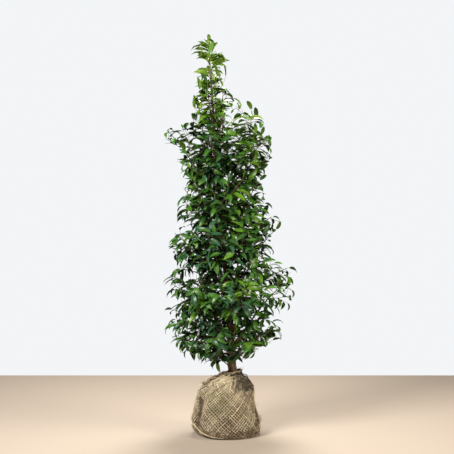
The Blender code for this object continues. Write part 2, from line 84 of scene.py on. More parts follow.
# %% Helpers for materials
def new_material(name, colour, roughness):
    """A Principled material with a plain colour, its shader and its node tree."""
    material = bpy.data.materials.new(name)
    material.use_nodes = True
    shader = material.node_tree.nodes["Principled BSDF"]
    shader.inputs["Base Color"].default_value = (*colour, 1)
    shader.inputs["Roughness"].default_value = roughness
    return material, shader, material.node_tree


def node(tree, kind, **inputs):
    """A node with each input that is named set to a value, or linked to another node's output."""
    made = tree.nodes.new("ShaderNode" + kind)
    for label, value in inputs.items():
        socket = made.inputs[label.replace("_", " ")]
        if isinstance(value, bpy.types.NodeSocket):
            tree.links.new(value, socket)
        else:
            socket.default_value = value
    return made


def own_place(tree):
    """The piece's own coordinates, in metres."""
    return node(tree, "TexCoord").outputs["Object"]


def noise_at(tree, scale, detail=4, stretch=(1, 1, 1)):
    """A noise on the piece's own coordinates, this many blotches to the metre, squeezed by stretch."""
    squeezed = node(tree, "Mapping", Vector=own_place(tree), Scale=stretch).outputs["Vector"]
    return node(tree, "TexNoise", Vector=squeezed, Scale=scale, Detail=detail).outputs["Fac"]


def ramp(tree, factor, stops):
    """Colours laid along a factor: stops are pairs of a place and a colour."""
    band = node(tree, "ValToRGB", Fac=factor)
    marks = band.color_ramp.elements
    while len(marks) < len(stops):
        marks.new(0.5)
    for mark, (place, colour) in zip(marks, stops):
        mark.position = place
        mark.color = (*colour, 1)
    return band.outputs["Color"]


def bumped(tree, shader, factor, depth):
    """Raises the surface by this many metres where the factor is 1."""
    relief = node(tree, "Bump", Distance=depth, Height=factor)
    tree.links.new(relief.outputs["Normal"], shader.inputs["Normal"])


def mottled(name, colour, roughness, stops, blotches, relief, depth):
    """A finish whose colours follow one noise and whose relief, this many metres deep, a finer one."""
    material, shader, tree = new_material(name, colour, roughness)
    tree.links.new(ramp(tree, noise_at(tree, *blotches), stops), shader.inputs["Base Color"])
    bumped(tree, shader, noise_at(tree, *relief), depth)
    return material


# %% Floor and world
FLOOR_SIDE = 3.6
FLOOR_COLOUR = (0.420, 0.342, 0.282)
FLOOR_ROUGHNESS = 0.7
BACKDROP_COLOUR = (0.896, 0.913, 0.930)
SKY_COLOUR = (0.93, 0.96, 0.97)
SKY_STRENGTH = 0.10  # as light, and the backdrop is seen at its full strength

work = bmesh.new()
bmesh.ops.create_grid(work, x_segments=1, y_segments=1, size=FLOOR_SIDE / 2)
floor_mesh = bpy.data.meshes.new("floor")
work.to_mesh(floor_mesh)
work.free()
floor = added("floor", floor_mesh)
floor_mesh.materials.append(new_material("floor", FLOOR_COLOUR, FLOOR_ROUGHNESS)[0])

world = bpy.data.worlds.new("studio")
world.use_nodes = True
tree = world.node_tree
sky = tree.nodes["Background"]
sky.inputs["Color"].default_value = (*SKY_COLOUR, 1)
sky.inputs["Strength"].default_value = SKY_STRENGTH
backdrop = node(tree, "Background", Color=(*BACKDROP_COLOUR, 1))
seen = node(tree, "LightPath").outputs["Is Camera Ray"]
choice = node(tree, "MixShader", Fac=seen)
tree.links.new(sky.outputs[0], choice.inputs[1])
tree.links.new(backdrop.outputs[0], choice.inputs[2])
tree.links.new(choice.outputs[0], tree.nodes["World Output"].inputs["Surface"])
bpy.context.scene.world = world
bpy.context.scene.view_settings.view_transform = "Standard"
print("floor", FLOOR_SIDE, "m square")

# %% Light
CROWN_MIDDLE = Vector((-0.03, 0, 1.15))
PANEL_SPREAD = radians(125)
Panel = namedtuple("Panel", "name place side watts colour")
DAYLIGHT = (1.0, 0.99, 0.93)
PANELS = (
    Panel("window", (-2.4, -2.6, 3.2), 1.5, 146, DAYLIGHT),
    Panel("overhead", (0.2, 1.5, 4.3), 1.5, 118, DAYLIGHT),
    Panel("warm_side", (2.8, -1.4, 2.2), 1.2, 46, (1.0, 0.95, 0.80)),
)

for panel in PANELS:
    lamp = bpy.data.lights.new(panel.name, "AREA")
    lamp.size = panel.side
    lamp.energy = panel.watts
    lamp.color = panel.colour
    lamp.spread = PANEL_SPREAD
    holder = added(panel.name, lamp)
    holder.location = panel.place
    holder.rotation_euler = (CROWN_MIDDLE - holder.location).to_track_quat("-Z", "Y").to_euler()
print(len(PANELS), "panels of light")

# %% [markdown]
# ## The growth rule
#
# Everything on the plant hangs from the stem, so the stem's line comes first: a lean, one slight bow and a
# slow sway. Limbs leave it in tiers, like the ribs of an umbrella, and each is one Bezier curve with a set
# angle at both of its ends. A crown drawn as a surface would look clipped; a table of how far the crown
# reaches at each height only says where growth stops.

# %% Shares and directions
UP = Vector((0, 0, 1))


def clamped(value):
    return min(max(value, 0), 1)


def between(first, last, share):
    return first + (last - first) * share


def shares(steps):
    """The shares from 0 to 1 at the ends of so many steps."""
    return [k / steps for k in range(steps + 1)]


def towards(azimuth, rise=0):
    """A level direction, or one that rises as well."""
    return Vector((cos(azimuth), sin(azimuth), rise))


# %% The stem
TRUNK_FOOT = 0.3353
TRUNK_TIP = 1.960
TRUNK_BUTT = 0.0192  # radius above the root flare
TRUNK_END = 0.0046
FLARE = 0.007
FLARE_HEIGHT = 0.030
FOOT_X = 0.015
LEAN = 0.0745
BOW = 0.012
BOW_HEIGHT = 0.70
BOW_SPREAD = 0.18
SWAY = 0.006
SWAY_PITCH = 1.1


def trunk_point(height):
    """The middle of the trunk at this height."""
    bow = BOW * exp(-(((height - BOW_HEIGHT) / BOW_SPREAD) ** 2))
    sway = SWAY * sin(2 * pi * (height - TRUNK_FOOT) / SWAY_PITCH)
    return Vector((FOOT_X - LEAN * (height - TRUNK_FOOT) + bow, sway, height))


def trunk_radius(height):
    share = (height - TRUNK_FOOT) / (TRUNK_TIP - TRUNK_FOOT)
    flare = FLARE * exp(-(height - TRUNK_FOOT) / FLARE_HEIGHT)
    return between(TRUNK_BUTT, TRUNK_END, share) + flare


print("the stem leans from", round(FOOT_X, 3), "to", round(trunk_point(TRUNK_TIP).x, 3))

# %% The crown's reach
CROWN = (  # height, and how far the crown reaches from the stem to the left and to the right
    (0.330, 0.090, 0.045),
    (0.420, 0.290, 0.150),
    (0.470, 0.360, 0.270),
    (0.580, 0.400, 0.335),
    (0.840, 0.375, 0.405),
    (0.920, 0.340, 0.440),
    (1.150, 0.315, 0.355),
    (1.300, 0.245, 0.260),
    (1.500, 0.250, 0.310),
    (1.680, 0.320, 0.325),
    (1.760, 0.155, 0.290),
    (1.840, 0.125, 0.210),
    (1.910, 0.110, 0.110),
    (2.140, 0.130, 0.095),
    (2.200, 0.050, 0.050),
)
LEAFY_CROWN = (  # where the leaves stop, within the crown and with the notches between its tiers
    (0.330, 0.120, 0.040),
    (0.390, 0.190, 0.060),
    (0.430, 0.300, 0.105),
    (0.475, 0.340, 0.175),
    (0.520, 0.345, 0.285),
    (0.580, 0.385, 0.300),
    (0.740, 0.355, 0.350),
    (0.785, 0.300, 0.355),
    (0.830, 0.365, 0.375),
    (0.915, 0.270, 0.415),
    (0.965, 0.275, 0.320),
    (1.050, 0.325, 0.265),
    (1.110, 0.285, 0.275),
    (1.145, 0.275, 0.350),
    (1.225, 0.248, 0.335),
    (1.300, 0.232, 0.245),
    (1.370, 0.190, 0.250),
    (1.500, 0.225, 0.295),
    (1.570, 0.215, 0.308),
    (1.600, 0.290, 0.305),
    (1.705, 0.300, 0.315),
    (1.745, 0.145, 0.270),
    (1.840, 0.115, 0.222),
    (1.885, 0.105, 0.112),
    (1.980, 0.100, 0.088),
    (2.060, 0.095, 0.118),
    (2.110, 0.130, 0.095),
    (2.200, 0.060, 0.050),
)
CROWN_DEPTH = 0.88  # front to back, as a share of side to side


def crown_reach(height, azimuth, crown=CROWN):
    """How far the crown reaches from the trunk at this height, towards this azimuth."""
    low, high = crown[0], crown[-1]
    for below, above in zip(crown, crown[1:]):
        if below[0] <= height <= above[0]:
            low, high = below, above
    share = clamped((height - low[0]) / (high[0] - low[0]))
    left, right = between(low[1], high[1], share), between(low[2], high[2], share)
    side = right if cos(azimuth) > 0 else left
    depth = CROWN_DEPTH * (left + right) / 2
    return 1 / sqrt((cos(azimuth) / side) ** 2 + (sin(azimuth) / depth) ** 2)


print("the crown is widest to the left at", max(CROWN, key=lambda row: row[1])[0], "m")

# %% Tiers of limbs
SEED = 7
GOLDEN = radians(137.5)
TIP_SHARE = 0.82  # of the crown's reach
# The heights at which a tier leaves the stem and ends, its first azimuth, its angles from upright at its
# start and its end, and whether its foot is a bare bough.
Tier = namedtuple("Tier", "name leaves tips first start end bough", defaults=(True,))
TIERS = (
    Tier("skirt", 0.395, 0.550, 3, 50, 84),
    Tier("low", 0.480, 0.870, -9, 42, 58),
    Tier("middle", 0.730, 1.130, 8, 36, 50),
    Tier("upper", 1.000, 1.390, -14, 32, 36, False),
)
SIDES = ("right", "back_right", "back_left", "left", "front_left", "front_right")
TIER_RISE = 0.075
TIER_SCATTER = 0.035
Limb = namedtuple("Limb", "name leaves azimuth reach tip start end bough", defaults=(True,))
SHOULDERS = (
    Limb("shoulder_left", 1.100, 182, 0.262, 1.675, 18, 46),
    Limb("second_leader", 1.160, -4, 0.212, 1.780, 40, 4),
    Limb("shoulder_right", 1.240, -16, 0.262, 1.640, 46, 18),
    Limb("shoulder_front", 1.330, 264, 0.150, 1.660, 34, 20, False),
    Limb("shoulder_back", 1.290, 84, 0.160, 1.680, 34, 20, False),
    Limb("leader_left", 1.480, 170, 0.075, 1.800, 36, 6, False),
    Limb("leader_right", 1.580, -10, 0.065, 1.900, 36, 6, False),
    Limb("leader_front", 1.650, 250, 0.055, 1.930, 36, 6, False),
    Limb("leader_back", 1.700, 70, 0.055, 1.960, 36, 6, False),
)
FOOT_FINER = (  # limbs too slight for the solid model: these fill the crown's foot and sides
    Limb("low_finer_left", 0.455, 186, 0.315, 0.690, 46, 70),
    Limb("low_finer_front_left", 0.500, 222, 0.270, 0.700, 46, 70),
    Limb("low_finer_back_left", 0.480, 148, 0.270, 0.720, 46, 70),
    Limb("skirt_basal_left", 0.362, 190, 0.165, 0.475, 58, 84),
    Limb("skirt_basal_front_left", 0.370, 226, 0.140, 0.460, 58, 84),
    Limb("skirt_basal_back", 0.368, 110, 0.130, 0.470, 58, 84),
    Limb("low_finer_front", 0.640, 284, 0.200, 0.860, 44, 60),
    Limb("middle_finer_front", 0.860, 262, 0.190, 1.060, 40, 56),
    Limb("middle_finer_right", 0.800, 330, 0.230, 0.960, 50, 66),
    Limb("low_finer_right", 0.520, 318, 0.190, 0.690, 46, 66),
    Limb("skirt_spray_left", 0.445, 184, 0.325, 0.600, 52, 88),
    Limb("skirt_spray_right", 0.430, 352, 0.235, 0.575, 50, 84),
    Limb("low_spray_left", 0.600, 178, 0.310, 0.830, 44, 58),
    Limb("low_spray_right", 0.700, 4, 0.345, 0.915, 46, 70),
    Limb("middle_spray_left", 0.800, 182, 0.285, 1.030, 44, 64),
    Limb("middle_spray_right", 0.900, 354, 0.280, 1.200, 40, 62),
)
DEEP_FINER = (  # and these its depth
    Limb("low_spray_back", 0.610, 80, 0.292, 0.845, 44, 58),
    Limb("low_spray_back_left", 0.640, 104, 0.270, 0.850, 44, 58),
    Limb("low_spray_front", 0.600, 262, 0.275, 0.800, 44, 58),
)
INNER_LIMBS = 16
INNER_FROM, INNER_TO = 0.47, 1.40
INNER_REACH = 0.125
INNER_ANGLES = (50, 70)
GROUP_TOPS = {"skirt": 0.50, "low": 0.85, "middle": 1.15, "upper": INNER_TO + INNER_REACH}


def tier_limbs(tier, rng):
    """The limbs of a tier, spaced evenly round the trunk."""
    limbs = []
    for i, side in enumerate(SIDES):
        azimuth = tier.first + 360 * i / len(SIDES)
        leaves = tier.leaves + TIER_RISE * ((i * 5) % len(SIDES)) / (len(SIDES) - 1)
        tip = tier.tips + rng.uniform(-TIER_SCATTER, TIER_SCATTER)
        reach = TIP_SHARE * crown_reach(tip, radians(azimuth))
        limbs.append(Limb(f"{tier.name}_{side}", leaves, azimuth, reach, tip, *tier[4:]))
    return limbs


def inner_limb(i):
    """A short leafy shoot close to the trunk, each a golden angle round from the last."""
    leaves = INNER_FROM + (INNER_TO - INNER_FROM) * i / (INNER_LIMBS - 1)
    group = next(name for name, top in GROUP_TOPS.items() if leaves < top)
    azimuth = 360 * i * GOLDEN / (2 * pi)
    return Limb(f"{group}_inner_{i}", leaves, azimuth, INNER_REACH, leaves + INNER_REACH, *INNER_ANGLES)


FINER = [*FOOT_FINER, *map(inner_limb, range(INNER_LIMBS)), *DEEP_FINER]
rng = Random(SEED)
LIMBS = [limb for tier in TIERS for limb in tier_limbs(tier, rng)] + [*SHOULDERS, *FINER]
print(len(LIMBS), "limbs")

# %% A limb's line
LIMB_PARTS = 100
LIMB_SHARE = 0.46  # of the trunk's radius where it leaves, but at least
LIMB_BUTT = 0.0060
FINER_BUTT = 0.0036
LIMB_TIP_RADIUS = 0.0016
LIMB_TAPER = 0.8


def limb_point(limb, share):
    """A point on a limb's axis: share is 0 in the middle of the trunk and 1 at the limb's tip."""
    away = towards(radians(limb.azimuth))
    start = trunk_point(limb.leaves)
    end = Vector((*trunk_point(limb.tip).xy, limb.tip)) + away * limb.reach
    handle = (end - start).length / 3
    first = start + (UP * cos(radians(limb.start)) + away * sin(radians(limb.start))) * handle
    last = end - (UP * cos(radians(limb.end)) + away * sin(radians(limb.end))) * handle
    return geometry.interpolate_bezier(start, first, last, end, LIMB_PARTS + 1)[round(share * LIMB_PARTS)]


def limb_radius(limb, share):
    butt = FINER_BUTT if limb in FINER else max(LIMB_SHARE * trunk_radius(limb.leaves), LIMB_BUTT)
    return between(butt, LIMB_TIP_RADIUS, share**LIMB_TAPER)


def limb_line(limb, start, steps):
    """Points along a limb from one share of its length to its tip."""
    return [limb_point(limb, round(start + (1 - start) * i / steps, 2)) for i in range(steps + 1)]


# %% [markdown]
# ## Bark
#
# The stem of a young laurel is smooth brown bark with shallow furrows, a swelling where each limb leaves it
# and a fluted foot. A curve with a round bevel would give the taper but not the relief. Here a circle is
# drawn out ring by ring along the line, and then each corner is pushed in or out by a noise that is
# stretched along the stem, so the furrows run upwards.

# %% Drawing a circle out along a line
def directions(points):
    """The direction of a line at each of its points."""
    ways = []
    for k in range(len(points)):
        before, after = points[max(k - 1, 0)], points[min(k + 1, len(points) - 1)]
        ways.append((after - before).normalized())
    return ways


def next_ring(work, edges):
    """Draws a ring's edges out into another ring, in the same place as yet: its corners and edges."""
    drawn = bmesh.ops.extrude_edge_only(work, edges=edges)["geom"]
    ring = [part for part in drawn if isinstance(part, bmesh.types.BMVert)]
    return ring, [part for part in drawn if isinstance(part, bmesh.types.BMEdge)]


def drawn_out(work, points, radii, sides):
    """A closed tube through these points, made by drawing a circle out from each to the next."""
    ways = directions(points)
    spin = ways[0].to_track_quat("Z", "Y")
    place = Matrix.LocRotScale(points[0], spin, Vector((radii[0],) * 3))
    ring = bmesh.ops.create_circle(work, cap_ends=True, radius=1, segments=sides, matrix=place)["verts"]
    edges = list(ring[0].link_faces[0].edges)
    made = list(ring)
    for k in range(1, len(points)):
        spin = ways[k - 1].rotation_difference(ways[k]) @ spin
        onward = Matrix.LocRotScale(points[k], spin, Vector((radii[k],) * 3))
        ring, edges = next_ring(work, edges)
        bmesh.ops.transform(work, matrix=onward @ place.inverted(), verts=ring)
        place = onward
        made += ring
    bmesh.ops.edgeloop_fill(work, edges=edges)
    return made


def piece(mesh, materials, replaced=()):
    """An object of the sapling, named as its mesh, that rides on its one body."""
    thing = added(mesh.name, mesh)
    for material in materials:
        mesh.materials.append(material)
    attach(thing, "root")
    if replaced:
        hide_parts(*replaced)
    print(mesh.name, sum(len(face.vertices) - 2 for face in mesh.polygons), "triangles")


def finished(work, name):
    """The mesh of a bmesh, with its faces turned outwards and shaded smooth."""
    bmesh.ops.recalc_face_normals(work, faces=work.faces)
    for face in work.faces:
        face.smooth = True
    mesh = bpy.data.meshes.new(name)
    work.to_mesh(mesh)
    work.free()
    return mesh


# %% Bark materials
BARK_DARK = (0.050, 0.028, 0.016)
BARK_BROWN = (0.155, 0.092, 0.052)
BARK_PALE = (0.340, 0.225, 0.140)
SHOOT_RED = (0.075, 0.046, 0.022)
SHOOT_TAN = (0.115, 0.125, 0.045)

BARK_STOPS = ((0.34, BARK_DARK), (0.52, BARK_BROWN), (0.70, BARK_PALE))
SHOOT_STOPS = ((0.40, SHOOT_RED), (0.62, SHOOT_TAN))

bark = mottled("bark", BARK_BROWN, 0.82, BARK_STOPS, (160, 6, (1, 1, 0.16)), (420, 5, (1, 1, 0.3)), 0.0012)
shoot_bark = mottled("shoot_bark", SHOOT_TAN, 0.55, SHOOT_STOPS, (45,), (700,), 0.0004)
print("two kinds of bark, old and young")

# %% Trunk
TRUNK_SIDES = 26
TRUNK_RINGS = 190
FURROW = 0.0011  # depth of the bark's furrows
FURROW_PITCH = (0.0045, 0.0045, 0.030)
FLUTES = 5
FLUTE = 0.22  # of the radius, at the foot
FLUTE_TURN = 1.2  # radians
FLUTE_HEIGHT = 0.055
COLLAR = 0.0035  # how far the trunk swells where a limb leaves it
COLLAR_HEIGHT = 0.016
CUT_FLAT = 0.001  # the flat cut at the foot has no relief
LEADER_RINGS = 24
LEADER_TIP = Vector((-0.117, 0.004, 2.145))


def trunk_relief(place):
    """How far the bark stands out at a point on the trunk."""
    x, y, z = (place[i] / FURROW_PITCH[i] for i in range(3))
    relief = FURROW * noise.fractal((x, y, z), 0.8, 2.1, 3) * trunk_radius(place.z) / TRUNK_BUTT
    out = place - trunk_point(place.z)
    turn = atan2(out.y, out.x)
    fluted = FLUTE * TRUNK_BUTT * cos(FLUTES * turn + FLUTE_TURN)
    relief += fluted * exp(-(place.z - TRUNK_FOOT) / FLUTE_HEIGHT)
    for limb in LIMBS:
        above = (place.z - limb.leaves - COLLAR_HEIGHT) / COLLAR_HEIGHT
        if abs(above) < 3:
            facing = max(cos(turn - radians(limb.azimuth)), 0)
            relief += COLLAR * facing**2 * exp(-(above**2))
    return relief


work = bmesh.new()
heights = [TRUNK_FOOT + (TRUNK_TIP - TRUNK_FOOT) * i / TRUNK_RINGS for i in range(TRUNK_RINGS + 1)]
points = [trunk_point(height) for height in heights]
radii = [trunk_radius(height) for height in heights]
for i in range(1, LEADER_RINGS + 1):
    points.append(trunk_point(TRUNK_TIP).lerp(LEADER_TIP, i / LEADER_RINGS))
    radii.append(TRUNK_END + (LIMB_TIP_RADIUS - TRUNK_END) * i / LEADER_RINGS)
drawn_out(work, points, radii, TRUNK_SIDES)
bmesh.ops.recalc_face_normals(work, faces=work.faces)
work.normal_update()
rough = [corner for corner in work.verts if TRUNK_FOOT + CUT_FLAT < corner.co.z < TRUNK_TIP]
moves = [corner.normal * trunk_relief(corner.co) for corner in rough]
for corner, move in zip(rough, moves):
    corner.co += move
piece(finished(work, "trunk_bark"), [bark], ["trunk"])

# %% Boughs
BOUGH_SIDES = 12
BOUGH_RINGS = 50
BOUGH_FURROW = 0.0005
OLD_WOOD = 0.55  # the share of a limb that has brown bark
work = bmesh.new()
for limb in LIMBS:
    points = limb_line(limb, 0, BOUGH_RINGS)
    radii = [limb_radius(limb, share) for share in shares(BOUGH_RINGS)]
    corners = drawn_out(work, points, radii, BOUGH_SIDES)
    for k, corner in enumerate(corners):
        share = (k // BOUGH_SIDES) / BOUGH_RINGS
        out = (corner.co - points[k // BOUGH_SIDES]).normalized()
        place = corner.co / FURROW_PITCH[0]
        corner.co += out * BOUGH_FURROW * (1 - share) * noise.noise(place)
        for face in corner.link_faces:
            face.material_index = 1 if share > OLD_WOOD else 0
bough_nodes = [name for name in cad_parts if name.startswith("bough_")]
piece(finished(work, "boughs_bark"), [bark, shoot_bark], bough_nodes)

# %% [markdown]
# ## Twigs
#
# Twigs leave a limb one by one, each a golden angle round from the last, and finer twigs leave them in the
# same way. A thousand of them are too many to draw out ring by ring. One straight twig is made once, and its
# corners are bent along every line by array arithmetic, all joined in one mesh for each tier.

# %% Copies from arrays
Shape = namedtuple("Shape", "corners loops starts")


def shape_of(work, way=1):
    """A small bmesh as arrays: its corners, and its faces' corner numbers, each face turned if way is -1."""
    work.verts.index_update()
    corners = np.array([corner.co[:] for corner in work.verts])
    outlines = [[corner.index for corner in face.verts] for face in work.faces]
    loops = np.array([number for first, *rest in outlines for number in (first, *rest[::way])])
    totals = [len(face.verts) for face in work.faces]
    starts = np.concatenate(([0], np.cumsum(totals)[:-1]))
    return Shape(corners, loops, starts)


def joined(name, shape, coordinates, slots):
    """One mesh of many copies of a shape: a row of coordinates and of material numbers for each copy."""
    copies, corner_count = coordinates.shape[:2]
    copy = np.arange(copies)[:, None]
    slots = np.broadcast_to(slots, (copies, len(shape.starts)))
    mesh = bpy.data.meshes.new(name)
    mesh.vertices.add(copies * corner_count)
    mesh.loops.add(copies * len(shape.loops))
    mesh.polygons.add(copies * len(shape.starts))
    mesh.vertices.foreach_set("co", coordinates.astype(np.float32).ravel())
    for group, label, numbers in (
        (mesh.loops, "vertex_index", shape.loops + copy * corner_count),
        (mesh.polygons, "loop_start", shape.starts + copy * len(shape.loops)),
        (mesh.polygons, "material_index", slots),
    ):
        group.foreach_set(label, numbers.astype(np.int32).ravel())
    mesh.update(calc_edges=True)
    mesh.shade_smooth()
    return mesh


def straight_tube(rings, sides):
    """A tube of radius 1 along +Z, with a ring of corners at each whole number up to rings.

    Bending mirrors it, so its faces are turned inwards here, and they point outwards on the bent tube.
    """
    work = bmesh.new()
    points = [Vector((0, 0, k)) for k in range(rings + 1)]
    drawn_out(work, points, [1] * (rings + 1), sides)
    bmesh.ops.recalc_face_normals(work, faces=work.faces)
    shape = shape_of(work, -1)
    work.free()
    return shape


def unit(vectors):
    return vectors / np.maximum(np.linalg.norm(vectors, axis=-1, keepdims=True), 1e-9)


def as_array(lines):
    """Lines of points, all with as many points, as one array."""
    return np.array([[point[:] for point in line] for line in lines])


def bent(shape, lines, radii, ups, flatness=1.0):
    """The corners of a straight tube bent along each line: ups say which way is up on it there."""
    ring = np.rint(shape.corners[:, 2]).astype(int)
    ways = unit(np.gradient(lines, axis=1))
    across = unit(np.cross(ways, ups))
    above = np.cross(across, ways)
    x, y = shape.corners[:, 0, None], shape.corners[:, 1, None]
    spread = across[:, ring] * x + above[:, ring] * y * flatness
    return lines[:, ring] + spread * np.broadcast_to(radii, lines.shape[:2])[:, ring, None]


# %% Growing the twigs
TWIGS = 5  # to a stem, as in the solid model
SPRAY_TWIGS = 4
Habit = namedtuple("Habit", "more sides pitch lift droop size outward")
# How many finer twigs a stem has and how many a twig has, metres from leaf to leaf, how far twigs curve up
# and leaves hang down, the leaves' size, and how far their faces turn outwards from the stem, not upwards.
HABITS = {
    "skirt": Habit(1, 2, 0.0285, 0.02, 0.62, 1.04, 0.75),
    "low": Habit(1, 2, 0.0290, 0.18, 0.42, 1.04, 0.62),
    "middle": Habit(1, 2, 0.0268, 0.18, 0.34, 1.05, 0.52),
    "upper": Habit(1, 2, 0.0275, 0.18, 0.24, 1.06, 0.40),
    "shoulder": Habit(1, 2, 0.0245, 0.18, 0.26, 1.12, 0.35),
    "leader": Habit(0, 0, 0.0300, 0.45, 0.10, 1.16, 0.25),
    "tip": Habit(0, 0, 0.0080, 0.45, 0.05, 1.18, 0.25),
    "spray": Habit(0, 1, 0.0255, 0.10, 0.44, 1.04, 0.50),
}
TIP_TWIGS = 2  # the leader's own
FINER_SEED = 191
LEADER_SEED = 250
LEAFY_FROM = 1.60  # the trunk itself bears leaves from this height up
BOUGH_SHARE = 0.30  # of a limb is a bare bough
BARE = 1.3  # trunk radii of a limb without a bough are bare
TWIG_SHARE = 0.46  # a twig's length, of its stem's
SIDE_SHARE = 0.62  # a side twig's, of its twig's
SIDE_BARE = 0.2
TWIG_TAPER = 0.35
TWIG_VARIES = (0.85, 1.1)
TWIG_ANGLE = radians(50)
LAST_TWIG = 0.86
TWIG_RINGS = 6
STEM_STEPS = 20
BEHIND = 0.7  # the sine of the azimuth from which on the crown, behind the trunk, has no notches
TRUNK_ROOM = 0.004
SHORTER = (1, 0.8, 0.62, 0.46, 0.32)  # a twig that leaves the crown is tried at these shares of its length
Shoot = namedtuple("Shoot", "line level first")


def along_line(points, distance):
    """The point this far along a line, and the line's direction there."""
    for start, end in zip(points, points[1:]):
        step = (end - start).length
        if distance <= step:
            return start.lerp(end, distance / step), (end - start).normalized()
        distance -= step
    return points[-1].copy(), (points[-1] - points[-2]).normalized()


def line_length(points):
    return sum((end - start).length for start, end in zip(points, points[1:]))


def frame_along(along, turn):
    """A direction square to this one, turned about it from the side that faces up."""
    side = UP.cross(along)
    square = (along.cross(side) if side.length > 0.01 else Vector((0, -1, 0))).normalized()
    return Matrix.Rotation(turn, 3, along) @ square


def in_crown(point):
    if not CROWN[0][0] < point.z < CROWN[-1][0]:
        return False
    out = point - trunk_point(point.z)
    azimuth = atan2(out.y, out.x)
    return out.xy.length < crown_reach(point.z, azimuth, CROWN if sin(azimuth) > BEHIND else LEAFY_CROWN)


def clear_of_trunk(point):
    out = point - trunk_point(point.z)
    return point.z > TRUNK_TIP or out.xy.length > trunk_radius(point.z) + TRUNK_ROOM


def twig_lines(points, bare, count, share_of_stem, lift, rng):
    """Twigs along a stem, each a golden angle round from the last and shorter towards the stem's tip."""
    length = line_length(points)
    turn = rng.uniform(0, 2 * pi)
    lines = []
    for i in range(count):
        share = (i + 0.5) / count
        start, along = along_line(points, bare + (LAST_TWIG * length - bare) * share)
        away = along * cos(TWIG_ANGLE) + frame_along(along, turn) * sin(TWIG_ANGLE)
        reach = share_of_stem * length * (1 - TWIG_TAPER * share) * rng.uniform(*TWIG_VARIES)
        rise = UP * lift * reach
        lines.append([start + away * reach * step + rise * step**2 for step in shares(TWIG_RINGS)])
        turn += GOLDEN
    return lines


def fitted(line):
    """A twig's line, shortened till it keeps to the crown and clear of the trunk, or None."""
    for share in SHORTER:
        trial = [line[0].lerp(point, share) for point in line]
        if in_crown(trial[-1]) and all(clear_of_trunk(point) for point in trial[1:]):
            return trial
    return None


def shoots_of(points, bare, count, habit, rng, finer):
    """The shoots of one mass: its stem, the twigs on it and the side twigs on those."""
    shoots = [Shoot(points, 0, bare)]
    lines = twig_lines(points, bare, count, TWIG_SHARE, habit.lift, rng)
    lines += twig_lines(points, bare, habit.more, TWIG_SHARE, habit.lift, finer)
    for line in filter(None, map(fitted, lines)):
        shoots.append(Shoot(line, 1, 0))
        sides = twig_lines(line, SIDE_BARE * line_length(line), habit.sides, SIDE_SHARE, habit.lift, finer)
        shoots += [Shoot(side, 2, 0) for side in filter(None, map(fitted, sides))]
    return shoots


Mass = namedtuple("Mass", "name group habit shoots rng")
GROUPS = ("skirt", "low", "middle", "upper", "shoulder", "leader")
masses = []
for number, limb in enumerate(LIMBS):
    rng, finer = Random(SEED * 1000 + number), Random(FINER_SEED * 1000 + number)
    share = BOUGH_SHARE if limb.bough else 0
    bare = 0 if limb.bough else BARE * trunk_radius(limb.leaves) / sin(radians(limb.start))
    group = "shoulder" if limb.name == "second_leader" else limb.name.split("_")[0]
    count, habit = (SPRAY_TWIGS, HABITS["spray"]) if limb in FINER else (TWIGS, HABITS[group])
    shoots = shoots_of(limb_line(limb, share, STEM_STEPS), bare, count, habit, rng, finer)
    masses.append(Mass(limb.name, group, habit, shoots, finer))
rng, finer = Random(SEED * 1000 + len(LIMBS) - len(FINER)), Random(LEADER_SEED)
top = [trunk_point(TRUNK_TIP).lerp(LEADER_TIP, share) for share in shares(STEM_STEPS)]
shoots = shoots_of(top, 0, TIP_TWIGS, HABITS["tip"], rng, finer)
leafy = [trunk_point(LEAFY_FROM + (TRUNK_TIP - LEAFY_FROM) * i / STEM_STEPS) for i in range(STEM_STEPS + 1)]
shoots[0] = Shoot(leafy + top[1:], 0, 0)
masses.append(Mass("leader_tip", "leader", HABITS["tip"], shoots, finer))
print(len(masses), "masses,", sum(len(mass.shoots) for mass in masses), "shoots")

# %% Twigs as meshes
TWIG_SIDES = 5
TWIG_RADII = (0, 0.0016, 0.0012)  # by level: a twig's and a side twig's
TWIG_END = 0.0008
ASKEW = (0.31, 0.17, 0.94)  # no twig lies along this

twig_shape = straight_tube(TWIG_RINGS, TWIG_SIDES)
for group in GROUPS:
    twigs = [shoot for mass in masses if mass.group == group for shoot in mass.shoots if shoot.level > 0]
    lines = as_array([twig.line for twig in twigs])
    butts = np.array([TWIG_RADII[twig.level] for twig in twigs])
    ends = np.linspace(0, 1, TWIG_RINGS + 1)
    radii = butts[:, None] * (1 - ends) + TWIG_END * ends
    ups = np.cross(unit(lines[:, -1] - lines[:, 0]), ASKEW)[:, None]
    mesh = joined(f"twigs_{group}", twig_shape, bent(twig_shape, lines, radii, ups), 0)
    piece(mesh, [shoot_bark])

# %% [markdown]
# ## Leaves
#
# A leaf is a lance-shaped blade, folded a little along a paler midrib, arching down to a drawn-out tip, dark
# and glossy above and dull and pale below, on a reddish stalk. A picture of a leaf on a flat card would do
# from afar, but it would be see-through at its edges and flat in the light. Each leaf is therefore a small
# closed body of some four dozen faces: a grid for its upper side, a coarser one for its lower side, welded
# at the margins.

